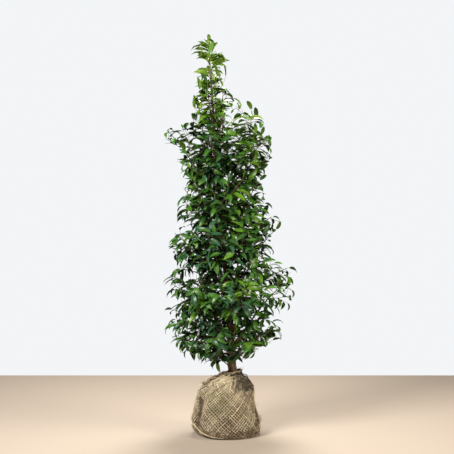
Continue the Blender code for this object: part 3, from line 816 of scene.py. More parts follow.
# %% A leaf
LEAF_LENGTH = 0.083
LEAF_WIDTH = 0.0290
STALK_LENGTH = 0.010
STALK_RADIUS = 0.0009
STALK_TIP = 0.7  # of that radius
STALK_UNDER = 0.004  # it runs on so far under the blade
STATIONS = (0.0, 0.10, 0.27, 0.47, 0.69, 0.88, 1.0)
RIB = 0.05  # half width of the midrib, as a share of the blade's half width
ABOVE = (-1.0, -0.55, -RIB, RIB, 0.55, 1.0)
BELOW = (-1.0, 0.0, 1.0)
BLADE_THICK = 0.0007
FLAT_HALF = 0.004  # a blade thins out where its half width is less
MERGE = 0.00001
FIRST_RISE = 0.16  # how far a blade rises from its stalk before it arches down, in radians
ARCH_POWER = 1.15
MIDRIB_STEPS = 24
BLADE, MIDRIB, UNDERSIDE, STALK = range(4)
Bend = namedtuple("Bend", "arch fold wave side")
BENDS = (
    Bend(radians(34), radians(22), 0.0010, 0.05),
    Bend(radians(52), radians(16), 0.0014, -0.06),
    Bend(radians(70), radians(22), 0.0008, 0.04),
    Bend(radians(92), radians(18), 0.0012, -0.03),
)


def half_width(share):
    """Half the blade's width at this share of its length, tapering to a drawn-out tip."""
    return LEAF_WIDTH / 2 * max(sin(pi * share**0.82), 0) ** (0.62 + 0.75 * share)


def sheet(work, across, thickness, kinds):
    """One side of a flat blade, from a grid."""
    before = set(work.faces)
    steps, rows = len(STATIONS) - 1, len(across) - 1
    corners = bmesh.ops.create_grid(work, x_segments=steps, y_segments=rows, size=1)["verts"]
    numbers = {v: (round((v.co.x + 1) / 2 * steps), round((v.co.y + 1) / 2 * rows)) for v in corners}
    for face in set(work.faces) - before:
        row = min(numbers[corner][1] for corner in face.verts)
        face.material_index = kinds[row]
    for corner, (step, row) in numbers.items():
        half = half_width(STATIONS[step])
        sunk = thickness * (1 - abs(across[row])) * min(half / FLAT_HALF, 1)
        corner.co = (STALK_LENGTH + LEAF_LENGTH * STATIONS[step], half * across[row], -sunk)


def flat_leaf():
    """A flat leaf along +X, with the foot of its stalk at the origin, and the kind of each of its faces."""
    work = bmesh.new()
    sheet(work, ABOVE, 0, (BLADE, BLADE, MIDRIB, BLADE, BLADE))
    sheet(work, BELOW, BLADE_THICK, (UNDERSIDE, UNDERSIDE))
    bmesh.ops.remove_doubles(work, verts=work.verts, dist=MERGE)
    reach = STALK_LENGTH + STALK_UNDER
    lying = Matrix.Translation((reach / 2, 0, 0)) @ Matrix.Rotation(pi / 2, 4, "Y")
    stalk = bmesh.ops.create_cone(work, cap_ends=True, segments=3, radius1=STALK_RADIUS,
                                  radius2=STALK_RADIUS * STALK_TIP, depth=reach, matrix=lying)["verts"]
    for face in {face for corner in stalk for face in corner.link_faces}:
        face.material_index = STALK
    bmesh.ops.recalc_face_normals(work, faces=work.faces)
    kinds = np.array([face.material_index for face in work.faces])
    shape = shape_of(work)
    work.free()
    return shape, kinds


def midrib_point(share, bend):
    """A point on the arching midrib, and the direction that faces up from the blade there."""
    steps = MIDRIB_STEPS
    point = Vector((STALK_LENGTH, 0, 0))
    for k in range(round(steps * share)):
        dip = bend.arch * ((k + 0.5) / steps) ** ARCH_POWER - FIRST_RISE
        point += Vector((cos(dip), bend.side * sin(pi * k / steps), -sin(dip))) * LEAF_LENGTH / steps
    dip = bend.arch * share**ARCH_POWER - FIRST_RISE
    return point, Vector((sin(dip), 0, cos(dip)))


def arched(corner, bend):
    """Where a corner of the flat leaf goes once the leaf is folded along its midrib and arched."""
    share = clamped((corner[0] - STALK_LENGTH) / LEAF_LENGTH)
    middle, over = midrib_point(share, bend)
    middle.x += min(corner[0] - STALK_LENGTH, 0)
    half = max(half_width(share), MERGE)
    out = min(abs(corner[1]) / half, 1)
    rise = min(half, abs(corner[1])) * sin(bend.fold) * (1.25 - 0.5 * out)
    wave = bend.wave * sin(3.2 * pi * share + corner[1] / half) * out**2 * min(half / FLAT_HALF, 1)
    return middle + Vector((0, corner[1] * cos(bend.fold), 0)) + over * (rise + wave + corner[2])


leaf_shape, leaf_kinds = flat_leaf()
leaf_corners = as_array([[arched(corner, bend) for corner in leaf_shape.corners] for bend in BENDS])
leaf_tips = [midrib_point(1, bend)[0] for bend in BENDS]
leaf_middles = [midrib_point(0.5, bend)[0] for bend in BENDS]
print("a leaf has", len(leaf_shape.starts), "faces and", len(leaf_shape.corners), "corners")

# %% Leaf colours
Tint = namedtuple("Tint", "name blade under")
TINTS = (
    # the undersides are paler, as the leaves' own, and brighter still as painted light shining through the
    # blade
    Tint("lime", (0.155, 0.258, 0.026), (0.220, 0.335, 0.055)),
    Tint("sunny", (0.078, 0.180, 0.008), (0.140, 0.260, 0.024)),
    Tint("fresh", (0.036, 0.115, 0.009), (0.070, 0.155, 0.024)),
    Tint("deep", (0.018, 0.070, 0.011), (0.038, 0.086, 0.020)),
    Tint("bluish", (0.018, 0.070, 0.030), (0.040, 0.092, 0.046)),
    # the shade tint, near black, is painted shade for leaves deep inside the crown
    Tint("shade", (0.003, 0.013, 0.003), (0.008, 0.021, 0.006)),
)
SUNNY, SHADE = 1, len(TINTS) - 1  # their places in TINTS
RIB_COLOUR = (0.100, 0.170, 0.040)
STALK_COLOUR = (0.170, 0.115, 0.045)
LEAF_SPECULAR = 0.32
LEAF_COAT_ROUGHNESS = 0.22
VEIN_DEPTH = 0.0003


def leaf_material(name, colour, roughness, gloss):
    """A plain leaf colour with a fine, shallow relief of veins."""
    material, shader, tree = new_material(name, colour, roughness)
    shader.inputs["Specular IOR Level"].default_value = LEAF_SPECULAR
    shader.inputs["Coat Weight"].default_value = gloss
    shader.inputs["Coat Roughness"].default_value = LEAF_COAT_ROUGHNESS
    bumped(tree, shader, noise_at(tree, 420, 2), VEIN_DEPTH)
    return material


LEAF_MATERIALS = [
    *(leaf_material(f"leaf_{tint.name}", tint.blade, 0.40, 0.12) for tint in TINTS),
    *(leaf_material(f"leaf_under_{tint.name}", tint.under, 0.62, 0.0) for tint in TINTS),
    leaf_material("leaf_midrib", RIB_COLOUR, 0.5, 0.1),
    leaf_material("leaf_stalk", STALK_COLOUR, 0.5, 0.1),
]


def slots_for(tint):
    """The material number of each face of a leaf of this tint."""
    by_kind = np.array([tint, 2 * len(TINTS), len(TINTS) + tint, 2 * len(TINTS) + 1])
    return by_kind[leaf_kinds]


print(len(LEAF_MATERIALS), "leaf colours")

# %% Growing the leaves
LEAF_ANGLE = radians(64)
TIP_LEAF_ANGLE = radians(28)
LEAF_LEVEL = 0.45  # how much of a leaf's downward slant is left once its stalk has turned it to the light
LEAF_ROLL = 0.42
RANK_SPREAD = 0.45
UPRIGHT = 0.80  # on a shoot as steep as this the leaves stand all round, on a flatter one in two ranks
LEAF_TRIES = 5
FIRST_LEAF = (0.5, 0.9)  # of the pitch
LAST_LEAF = 0.3
YOUNG_LEAVES = 3  # at a shoot's tip, smaller by up to this share
YOUNG_SHARE = 0.16
PITCH_VARIES, SIZE_VARIES, DROOP_VARIES = (0.85, 1.15), (0.80, 1.12), (0.2, 1.6)
ONE_TINT = 0.8  # of a shoot's leaves have its own tint, and the others the next one
LIME_FROM, BRIGHT_FROM, SKIRT_TO = 1.98, 1.72, 0.90  # heights
# leaves nearer the stem than this share get dark tints, as painted shade
DEEP_INSIDE = 0.42  # of the crown's reach
SUNNY_SIDE = 0.10  # the side lamps reach leaves this far to the right of the stem
Leaf = namedtuple("Leaf", "bend turned root tint")


def leaf_frame(root, along, turn, angle, habit, rng):
    """A leaf's direction and its upper face's: it droops a little, and faces the sky and outwards."""
    away = along * cos(angle) + frame_along(along, turn) * sin(angle)
    away.z = away.z if away.z > 0 else away.z * LEAF_LEVEL
    away = (away - UP * habit.droop * rng.uniform(*DROOP_VARIES)).normalized()
    outward = root - trunk_point(root.z)
    light = UP + Vector((outward.x, outward.y, 0)).normalized() * habit.outward
    over = light - away * away.dot(light)
    over = (over if over.length > 0.05 else frame_along(away, 0)).normalized()
    over = Matrix.Rotation(rng.gauss(0, LEAF_ROLL), 3, away) @ over
    return away, over


def spray_tint(point, rng):
    """The tint of a spray, by where it is on the crown, with painted light, shade and reflection dealt out by
    place.
    """
    out = point - trunk_point(point.z)
    depth = out.xy.length / crown_reach(point.z, atan2(out.y, out.x))
    if point.z > LIME_FROM:
        weights = (6, 1, 0, 0, 0, 0)
    elif point.z > BRIGHT_FROM:
        weights = (1, 4, 4, 2, 0, 1)
    # deep inside the crown the darkest tints, most of all shade, are painted shade
    elif depth < DEEP_INSIDE:
        weights = (0, 0, 1, 4, 2, 5) if point.z < SKIRT_TO else (0, 0, 0, 4, 1, 6)
    # right of the stem the sunny tints stand in for the side lamps' light: painted light
    elif out.x > SUNNY_SIDE:
        weights = (0, 3, 5, 4, 0, 1)
    # on the left and in the middle the bluish tint stands in for the cool sky on glossy leaves: a painted
    # reflection
    else:
        weights = (0, 1, 4, 4, 3, 1)
    return rng.choices(range(len(TINTS)), weights)[0]


def leaf_roots(points, first, pitch, rng):
    """Where the leaves of a shoot spring: one every pitch, and one at its end."""
    length = line_length(points)
    roots = []
    distance = first
    while distance < length - LAST_LEAF * pitch:
        roots.append((*along_line(points, distance), LEAF_ANGLE))
        distance += pitch * rng.uniform(*PITCH_VARIES)
    roots.append((*along_line(points, length), TIP_LEAF_ANGLE))
    return roots


def grown_leaves(mass):
    """The leaves of a mass that keep to the crown and off the trunk."""
    rng = mass.rng
    kept = []
    for shoot in mass.shoots:
        pitch = mass.habit.pitch
        tint = spray_tint(shoot.line[-1], rng)
        turn, rank = rng.uniform(0, 2 * pi), rng.choice((-1, 1))
        roots = leaf_roots(shoot.line, shoot.first + pitch * rng.uniform(*FIRST_LEAF), pitch, rng)
        for number, (root, along, angle) in enumerate(roots):
            youth = max(YOUNG_LEAVES - (len(roots) - 1 - number), 0) / YOUNG_LEAVES
            size = mass.habit.size * rng.uniform(*SIZE_VARIES) * (1 - YOUNG_SHARE * youth)
            for _ in range(LEAF_TRIES):
                rank, turn = -rank, turn + GOLDEN
                side = turn if along.z > UPRIGHT else rank * pi / 2 + rng.gauss(0, RANK_SPREAD)
                away, over = leaf_frame(root, along, side, angle, mass.habit, rng)
                bend = rng.randrange(len(BENDS))
                turned = Matrix((away, over.cross(away), over)).transposed() * size
                tip, middle = root + turned @ leaf_tips[bend], root + turned @ leaf_middles[bend]
                if in_crown(tip) and clear_of_trunk(middle) and clear_of_trunk(tip):
                    near = min(max(tint + rng.choice((-1, 1)), SUNNY), SHADE)
                    shade = tint if rng.random() < ONE_TINT else near
                    kept.append(Leaf(bend, np.array(turned), np.array(root), shade))
                    break
    return kept


for group in GROUPS:
    members = [mass for mass in masses if mass.group == group]
    kept = [leaf for mass in members for leaf in grown_leaves(mass)]
    corners = leaf_corners[[leaf.bend for leaf in kept]]
    turned = np.array([leaf.turned for leaf in kept])
    roots = np.array([leaf.root for leaf in kept])
    coordinates = np.einsum("nij,nvj->nvi", turned, corners) + roots[:, None, :]
    slots = np.array([slots_for(leaf.tint) for leaf in kept])
    mesh = joined(f"leaves_{group}", leaf_shape, coordinates, slots)
    mesh.set_sharp_from_angle(angle=radians(80))
    named = [f"foliage_{mass.name}" for mass in members]
    piece(mesh, LEAF_MATERIALS, [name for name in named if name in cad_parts])
    print(group, len(kept), "leaves")

# %% [markdown]
# ## The root ball
#
# Damp soil in an open jute weave: pale threads cross on the slant over dark gaps, the cloth is drawn in and
# folded towards the stem, and the whole bag sags to one side. A woven picture or a bump map would look
# printed on. The threads are real here: two sets wind round the ball in opposite senses, and each rises over
# one crossing and dips under the next by one cosine.

# %% The ball's surface
BALL_HEIGHT = 0.335
BALL_SIDE = (
    (0.164, 0.0),
    (0.182, 0.020),
    (0.188, 0.075),
    (0.176, 0.135),
    (0.159, 0.200),
    (0.143, 0.258),
    (0.110, 0.298),
    (0.062, 0.323),
    (0.050, 0.333),
)
BALL_DEPTH = 0.97
BALL_SAG = 0.027
BALL_SAG_RISE = 0.022
BALL_LUMPS = 0.014
BALL_RIM = 0.040
BALL_LUMP_PITCH = 0.09
BALL_LUMP_PLACE = Vector((3.1, 0.4, 1.7))
SMALL_LUMPS = 0.003
SMALL_LUMP_PITCH = 0.035
GATHERS = 13  # folds drawn in towards the stem
GATHER_DEPTH = 0.0055
GATHER_FROM = 0.215
PROFILE_STEPS = 14
RIDGE_AZIMUTH = radians(241)  # one long upright fold on the left, and the hollow beside it
HOLLOW_AZIMUTH = radians(216)
PLEAT_WIDTH = radians(12)
PLEAT_DEPTH = 0.008
GROUND = 0.001  # below this height the cloth lies flat on the ground
SLOPE_STEP = 0.004


def ball_middle(height):
    """The middle of the ball at this height, side to side."""
    share = min(height / BALL_HEIGHT, 1)
    return (FOOT_X + BALL_SAG) * share**7 - BALL_SAG * (1 - exp(-height / BALL_SAG_RISE))


def smooth_profile(points, steps):
    """A smooth line through a profile's points."""
    knots = [Vector((radius, 0, height)) for radius, height in points]
    line = []
    for k in range(len(knots) - 1):
        before, after = knots[max(k - 1, 0)], knots[min(k + 2, len(knots) - 1)]
        first = knots[k] + (knots[k + 1] - before) / 6
        last = knots[k + 1] - (after - knots[k]) / 6
        line += geometry.interpolate_bezier(knots[k], first, last, knots[k + 1], steps + 1)[:-1]
    return line + [knots[-1]]


PROFILE = smooth_profile(BALL_SIDE, PROFILE_STEPS)
PROFILE_COLUMNS = np.array([(point.x, point.z) for point in PROFILE]).T
PROFILE_LENGTHS = np.concatenate(([0], np.cumsum([(b - a).length for a, b in zip(PROFILE, PROFILE[1:])])))
PROFILE_LENGTH = PROFILE_LENGTHS[-1]


def profile_at(distance):
    """Radius and height this far up the ball's side."""
    return np.array([np.interp(distance, PROFILE_LENGTHS, column) for column in PROFILE_COLUMNS])


def outward_at(distance):
    """The direction out of the ball's side this far up it."""
    ahead, behind = min(distance + SLOPE_STEP, PROFILE_LENGTH), max(distance - SLOPE_STEP, 0)
    run, rise = profile_at(ahead) - profile_at(behind)
    size = sqrt(rise * rise + run * run)
    return rise / size, -run / size


def bell(value, width):
    return exp(-((value / width) ** 2))


def hollow(turn, height):
    """How deep in the hollow on the ball's left a point is, up to 1, or below 0 on the ridge beside it."""
    sunk = bell(remainder(turn - HOLLOW_AZIMUTH, 2 * pi), PLEAT_WIDTH)
    raised = bell(remainder(turn - RIDGE_AZIMUTH, 2 * pi), PLEAT_WIDTH)
    return (sunk - raised) * sin(pi * min(height / BALL_HEIGHT, 1))


def ball_point(turn, distance, out):
    """A point on the ball's cloth: turn round it, distance up its side, and out from the cloth."""
    radius, height = profile_at(distance)
    outward, upward = outward_at(distance)
    gather = clamped((height - GATHER_FROM) / (BALL_HEIGHT - GATHER_FROM))
    fold = GATHER_DEPTH * sin(GATHERS * turn + 2 * sin(2 * turn)) * gather
    flat = Vector((radius * cos(turn), radius * sin(turn), height))
    wave = BALL_LUMPS * noise.noise(flat / BALL_LUMP_PITCH + BALL_LUMP_PLACE)
    wave += SMALL_LUMPS * noise.noise(flat / SMALL_LUMP_PITCH) - PLEAT_DEPTH * hollow(turn, height)
    inside = clamped(min(height, BALL_HEIGHT - height) / BALL_RIM)
    swell = wave * inside + fold + out
    radius += swell * outward if height > GROUND else out
    height = max(height + (fold + out) * upward, 0)
    return Vector((radius * cos(turn) + ball_middle(height), radius * sin(turn) * BALL_DEPTH, height))


print("cloth runs", round(PROFILE_LENGTH, 3), "m up the ball's side")

# %% Soil behind the cloth
SOIL_COLUMNS = 120
SOIL_ROWS = 60
SOIL_SUNK = -0.0055
# the darkest soil, near black, is the damp soil's own tone and painted shade in the gaps between the threads
SOIL_DARK = (0.008, 0.005, 0.003)
SOIL_BROWN = (0.045, 0.029, 0.018)
SOIL_DUST = (0.130, 0.092, 0.056)
SOIL_STOPS = ((0.40, SOIL_DARK), (0.52, SOIL_BROWN), (0.68, SOIL_DUST))

soil = mottled("soil", SOIL_BROWN, 0.95, SOIL_STOPS, (75, 8), (260, 8), 0.004)
work = bmesh.new()
ring = bmesh.ops.create_circle(work, cap_ends=True, radius=1, segments=SOIL_COLUMNS)["verts"]
rings = [ring]
edges = list(ring[0].link_faces[0].edges)
for row in range(SOIL_ROWS):
    ring, edges = next_ring(work, edges)
    rings.append(ring)
bmesh.ops.edgeloop_fill(work, edges=edges)
for row, corners in enumerate(rings):
    for corner in corners:
        turn = atan2(corner.co.y, corner.co.x)
        corner.co = ball_point(turn, PROFILE_LENGTH * row / SOIL_ROWS, SOIL_SUNK)
piece(finished(work, "root_ball_soil"), [soil], ["root_ball"])

# %% Jute
JUTE_COLOURS = {
    "pale": (0.860, 0.740, 0.520),
    "tan": (0.600, 0.475, 0.310),
    "brown": (0.320, 0.235, 0.145),
    "green": (0.450, 0.400, 0.225),
    # this reddish brown is the twisted corner's own colour, and painted shade on the ball's threads
    "rust": (0.190, 0.122, 0.078),
    "soiled": (0.085, 0.066, 0.048),
}
PALE, TAN, BROWN, GREEN, RUST_AND_SHADE, SOILED = range(len(JUTE_COLOURS))
JUTE_ROUGHNESS = 0.9


def scaled(colour, factor):
    return tuple(channel * factor for channel in colour)


def jute(name, colour):
    """A coarse, dull thread, mottled and fibrous."""
    stops = ((0.3, scaled(colour, 0.6)), (0.65, scaled(colour, 1.2)))
    return mottled(name, colour, JUTE_ROUGHNESS, stops, (90, 5), (900,), 0.0010)


JUTES = [jute(f"jute_{name}", colour) for name, colour in JUTE_COLOURS.items()]
print(len(JUTES), "kinds of jute")

# %% Stains and painted shade
BLOTCH_PITCH = 0.028
SPECK_PITCH = 4  # specks to a blotch
SOAKED_X = 0.012  # the cloth is dark with wet soil to the right of this and above this height
SOAKED_Z = 0.240
SOAKED_EDGE = 0.032
HOLLOW_SHADE_TOP = 0.21
LOW_RIGHT_SHADE_X, LOW_RIGHT_SHADE_TOP = 0.135, 0.16  # a reddish-brown patch low on the right edge, painted shade
GREEN_X, GREEN_Z = (-0.12, 0.02), (0.12, 0.25)  # a green one in the middle of the front
SHADED_RIM_TOP = 0.045  # the rim on the ground is painted darker, as shade


def stained_and_shaded(place, turn, tint):
    """The tint that a thread of this tint has at a place on the ball: its stains, and painted shade in the
    hollow, low on the right and round the foot.
    """
    blotch = noise.noise(place / BLOTCH_PITCH)
    speck = noise.noise(place / BLOTCH_PITCH * SPECK_PITCH)
    streak = noise.noise(Vector((12 * turn, 9 * place.z, 0)))
    soaked = min(place.x - SOAKED_X, place.z - SOAKED_Z) / SOAKED_EDGE + 0.8 * blotch + 0.9 * streak
    if soaked > 0.40:
        return SOILED if speck < 0.22 else BROWN
    if soaked > -0.10 and streak + speck > 0.15:
        return BROWN
    # in the hollow on the ball's left the reddish tint is painted shade
    if hollow(turn, place.z) + 0.8 * blotch + 0.7 * speck > 0.60 and place.z < HOLLOW_SHADE_TOP:
        return RUST_AND_SHADE
    # low on the right edge the reddish tint is painted shade
    if place.x > LOW_RIGHT_SHADE_X and place.z < LOW_RIGHT_SHADE_TOP and blotch + speck > 0.1:
        return RUST_AND_SHADE
    # round the foot the brown tint is painted shade
    if place.z < SHADED_RIM_TOP and blotch > -0.15:
        return BROWN
    in_front = place.y < 0 and GREEN_X[0] < place.x < GREEN_X[1] and GREEN_Z[0] < place.z < GREEN_Z[1]
    if in_front and blotch + speck > 0.02:
        return GREEN
    return BROWN if speck > 0.28 else tint


# %% Jute threads
THREADS = 62  # each way
THREAD_STEPS = 150
THREAD_SIDES = 6
THREAD_RADIUS = 0.0019
THREAD_VARIES = (0.70, 1.10)
THREAD_STRAY = 0.014  # radians
THREAD_TINTS = (PALE, PALE, TAN, TAN, BROWN)
THREAD_FLATNESS = 0.55
THREAD_FOOT = 0.002
WEAVE_LIFT = 0.0013
THREAD_OUT = -0.0012
DRIFT = 0.045  # how far round, in radians, the weave is pulled out of true
DRIFT_PITCH = 0.11
DRIFT_ROUND = 0.18


def winding():
    """How far round a thread at 45 degrees has wound, at each of its steps up the side."""
    distances = np.linspace(THREAD_FOOT, PROFILE_LENGTH, THREAD_STEPS + 1)
    radius = profile_at(distances)[0]
    step = distances[1] - distances[0]
    return distances, np.concatenate(([0], np.cumsum(step / ((radius[1:] + radius[:-1]) / 2))))


distances, wound = winding()
thread_shape = straight_tube(THREAD_STEPS, THREAD_SIDES)
thread_rings = np.rint(thread_shape.corners[thread_shape.loops[thread_shape.starts], 2]).astype(int)
thread_rng = Random(SEED)
for sense, name in ((1, "jute_threads_rising_right"), (-1, "jute_threads_rising_left")):
    lines, ups, radii, tints = [], [], [], []
    for number in range(THREADS):
        start = 2 * pi * number / THREADS + thread_rng.uniform(-THREAD_STRAY, THREAD_STRAY)
        radii.append(THREAD_RADIUS * thread_rng.uniform(*THREAD_VARIES))
        own = thread_rng.choice(THREAD_TINTS)
        line, up, tint = [], [], []
        for distance, turned in zip(distances, wound):
            turn = start + sense * turned
            place = Vector((cos(turn) * DRIFT_ROUND, sin(turn) * DRIFT_ROUND, distance))
            turn += DRIFT * noise.noise(place / DRIFT_PITCH)
            lift = THREAD_OUT + sense * WEAVE_LIFT * cos(THREADS * turn)
            here = ball_point(turn, distance, lift)
            line.append(here)
            up.append(ball_point(turn, distance, lift + SLOPE_STEP) - here)
            tint.append(stained_and_shaded(here, turn, own))
        for rows, row in zip((lines, ups, tints), (line, up, tint)):
            rows.append(row)
    thick = np.array(radii)[:, None]
    coordinates = bent(thread_shape, as_array(lines), thick, unit(as_array(ups)), THREAD_FLATNESS)
    piece(joined(name, thread_shape, coordinates, np.array(tints)[:, thread_rings]), JUTES)

# %% Hem
HEM_RADIUS = 0.0030
HEM_STEPS = 60
HEM_SIDES = 10
HEM_TAPER = 0.35  # the power that rounds off its ends
HEM_END = 0.15  # of its radius
HEM_OUT = 0.0015
HEM_SUNK = 0.002
HEM_TURNS = (radians(160), radians(262))
HEM_RISE = (0.150, 0.016)  # distance up the ball's side at its two ends
HEM_CREASE, HEM_CREASE_PITCH = 0.35, 0.012
ON_GROUND = 0.0005


def creased(corners, points, sides, depth, pitch):
    """Pushes each corner of a drawn-out tube in or out, by up to this share of its radius."""
    for number, corner in enumerate(corners):
        corner.co += (corner.co - points[number // sides]) * depth * noise.noise(corner.co / pitch)


points, radii = [], []
for share in shares(HEM_STEPS):
    thick = max(sin(pi * share), 0) ** HEM_TAPER
    distance = between(*HEM_RISE, sin(pi / 2 * share))
    points.append(ball_point(between(*HEM_TURNS, share), distance, HEM_OUT * thick - HEM_SUNK * (1 - thick)))
    radii.append(HEM_RADIUS * max(thick, HEM_END))
work = bmesh.new()
corners = drawn_out(work, points, radii, HEM_SIDES)
creased(corners, points, HEM_SIDES, HEM_CREASE, HEM_CREASE_PITCH)
for corner in corners:
    corner.co.z = max(corner.co.z, ON_GROUND)
piece(finished(work, "jute_hem"), [JUTES[TAN]])

# %% [markdown]
# ## Where the cloth is gathered
#
# Round the stem's foot the cloth is drawn up in folds and tied with a dark twine, one corner of it, twisted
# into a rope of three strands, lies on the left shoulder, and broken fibres stand out at every edge. The neck
# is a closed wall spun round the stem and then folded by one wave; a sheet without a thickness would show its
# back in black.

# %% Neck
NECK_WALL = (  # radius and height, up the outside, over the rim and down the inside
    (0.061, 0.313),
    (0.054, 0.324),
    (0.047, 0.331),
    (0.046, 0.337),
    (0.049, 0.343),
    (0.047, 0.347),
    (0.042, 0.345),
    (0.040, 0.338),
    (0.039, 0.330),
    (0.039, 0.318),
    (0.048, 0.307),
)
NECK_OUTSIDE = 5  # so many of them are on the outside
NECK_FOLDS = 11
NECK_STEPS = 132
NECK_FOLD = (0.05, 0.10)  # of its radius, at its foot and at its rim
NECK_WANDER = 1.3  # radians by which the folds are out of step
NECK_TILT = 0.008  # the rim is higher on the right
NECK_RAGGED = 0.004
RAGGED_TEETH = 2.4
NECK_DARK = (FOOT_X - 0.025, FOOT_X + 0.03)


def neck_point(turn, radius, height):
    """Where a point of the spun wall goes once it is folded: it stays near its turn round the stem."""
    share = clamped((height - NECK_WALL[0][1]) / (NECK_WALL[NECK_OUTSIDE][1] - NECK_WALL[0][1]))
    fold = sin(NECK_FOLDS * turn + NECK_WANDER * sin(2 * turn))
    radius *= 1 + fold * between(*NECK_FOLD, share)
    ragged = noise.noise(towards(turn, 0.3) * RAGGED_TEETH)
    height += share * (NECK_TILT * cos(turn) + NECK_RAGGED * ragged)
    return Vector((FOOT_X + radius * cos(turn), radius * sin(turn), height))


def sackcloth(name, tones, dark_from, dark_to):
    """Creased cloth in three tones, darker along X between two places."""
    material, shader, tree = new_material(name, tones[1], JUTE_ROUGHNESS)
    along = node(tree, "SeparateXYZ", Vector=own_place(tree)).outputs["X"]
    slope = node(tree, "MapRange", Value=along, From_Min=dark_from, From_Max=dark_to, To_Min=0.3, To_Max=-0.3)
    total = node(tree, "Math")
    tree.links.new(slope.outputs["Result"], total.inputs[0])
    tree.links.new(noise_at(tree, 140, 6), total.inputs[1])
    shade = ramp(tree, total.outputs[0], tuple(zip((0.40, 0.52, 0.72), tones)))
    tree.links.new(shade, shader.inputs["Base Color"])
    bumped(tree, shader, noise_at(tree, 520, 5), 0.0025)
    return material


neck_tones = [JUTE_COLOURS[name] for name in ("soiled", "brown", "tan")]
work = bmesh.new()
corners = [work.verts.new((radius, 0, height)) for radius, height in NECK_WALL]
edges = [work.edges.new(pair) for pair in zip(corners, corners[1:] + corners[:1])]
bmesh.ops.spin(work, geom=corners + edges, cent=(0, 0, 0), axis=UP, angle=2 * pi,
               steps=NECK_STEPS, use_merge=True)
for corner in work.verts:
    corner.co = neck_point(atan2(corner.co.y, corner.co.x), corner.co.xy.length, corner.co.z)
neck_material = sackcloth("neck_cloth", neck_tones, *NECK_DARK)
piece(finished(work, "jute_neck_cloth"), [neck_material], ["jute_neck"])

# %% Threads of the neck
NECK_WARP = 66
WARP_STEPS = 14
NECK_WEFT = 7
WEFT_FROM = 0.7
NECK_THREAD = 0.0009
NECK_THREAD_SIDES = 5
NECK_LIFT = 0.6  # of a thread's radius, from the cloth
NECK_THREAD_TINTS = (PALE, TAN, TAN, BROWN)
WET_FROM = FOOT_X + 0.012  # the neck is wet to the right of this


def neck_outside(share):
    """Radius and height at a share of the way up the neck's outside."""
    place = share * NECK_OUTSIDE
    k = min(int(place), NECK_OUTSIDE - 1)
    return tuple(between(a, b, place - k) for a, b in zip(NECK_WALL[k], NECK_WALL[k + 1]))


def neck_threads(name, lines, seed, soiled):
    """Threads along lines on the neck, each a thin tube, of which the wet ones may be soiled."""
    lines = as_array(lines)
    steps = lines.shape[1] - 1
    shape = straight_tube(steps, NECK_THREAD_SIDES)
    rng = Random(seed)
    tints = [rng.choice(NECK_THREAD_TINTS) for _ in lines]
    wet = lines[:, (steps + 1) // 2, 0] > WET_FROM
    tints = np.where(wet & soiled, SOILED, tints)
    outward = unit((lines - (FOOT_X, 0, 0)) * (1, 1, 0))
    coordinates = bent(shape, lines, NECK_THREAD, outward)
    piece(joined(name, shape, coordinates, tints[:, None]), JUTES)


def warp_line(turn):
    """A thread up the neck's outside, which stands off it at every other step."""
    line = []
    for k, share in enumerate(shares(WARP_STEPS)):
        radius, height = neck_outside(share)
        lift = NECK_THREAD * (NECK_LIFT + NECK_LIFT * cos(pi * k))
        line.append(neck_point(turn, radius + lift, height))
    return line


def weft_line(share):
    """A thread round the neck."""
    radius, height = neck_outside(share)
    turns = [2 * pi * k / NECK_STEPS for k in range(NECK_STEPS + 1)]
    return [neck_point(turn, radius + NECK_THREAD * NECK_LIFT, height) for turn in turns]


warp = [warp_line(2 * pi * number / NECK_WARP) for number in range(NECK_WARP)]
neck_threads("jute_neck_upright_threads", warp, SEED, True)
weft = [weft_line((number + WEFT_FROM) / NECK_WEFT) for number in range(NECK_WEFT)]
neck_threads("jute_neck_level_threads", weft, SEED + 1, False)

# %% Twine
TWINE_RADIUS = 0.0023
TWINE_TURNS = 2.6
TWINE_STEPS = 150
TWINE_SIDES = 8
TWINE_UP, TWINE_WANDER = 0.42, 0.10  # of the way up the neck
TAIL_STEPS = 26
TAIL_LENGTH = 0.115
TAIL_START = 0.006  # down the ball's side from its top
TAIL_TURN = radians(-4)
TAIL_ARCH = 0.010  # it springs clear of the neck,
TAIL_LIFT = 0.004  # and its end stands off the ball
TWINE_DARK = (0.035, 0.026, 0.022)

points = []
for share in shares(TWINE_STEPS):
    radius, height = neck_outside(TWINE_UP + TWINE_WANDER * sin(5 * share))
    points.append(neck_point(2 * pi * TWINE_TURNS * (share - 1), radius + TWINE_RADIUS, height))
for share in shares(TAIL_STEPS)[1:]:
    lift = TWINE_RADIUS + TAIL_ARCH * sin(pi * min(share * 2, 1)) + TAIL_LIFT * share**3
    points.append(ball_point(TAIL_TURN * share, PROFILE_LENGTH - TAIL_START - TAIL_LENGTH * share, lift))
work = bmesh.new()
drawn_out(work, points, [TWINE_RADIUS] * len(points), TWINE_SIDES)
piece(finished(work, "twine"), [jute("twine", TWINE_DARK)])

# %% Twisted corner
CORNER_AZIMUTH = radians(197)
CORNER_START = 0.030
CORNER_LENGTH = 0.122
CORNER_DROP = 0.050
CORNER_SINK = 0.004
CORNER_RINGS = 70
CORNER_SIDES = 14
STRANDS = 3
STRAND_RADIUS = 0.0074
STRAND_OUT = 0.0064  # from the corner's middle line to a strand's
CORNER_TWIST = 8.5  # radians, over its length
CORNER_CREASE, CORNER_CREASE_PITCH = 0.55, 0.007


def corner_line(share):
    """The middle of the twisted corner, from the neck to its loose end."""
    away = towards(CORNER_AZIMUTH)
    start = away * CORNER_START + UP * (BALL_HEIGHT - CORNER_SINK)
    wander = Vector((0, 0.006 * sin(7 * share), 0.004 * sin(11 * share + 1)))
    return start + away * CORNER_LENGTH * share - UP * CORNER_DROP * share**1.6 + wander


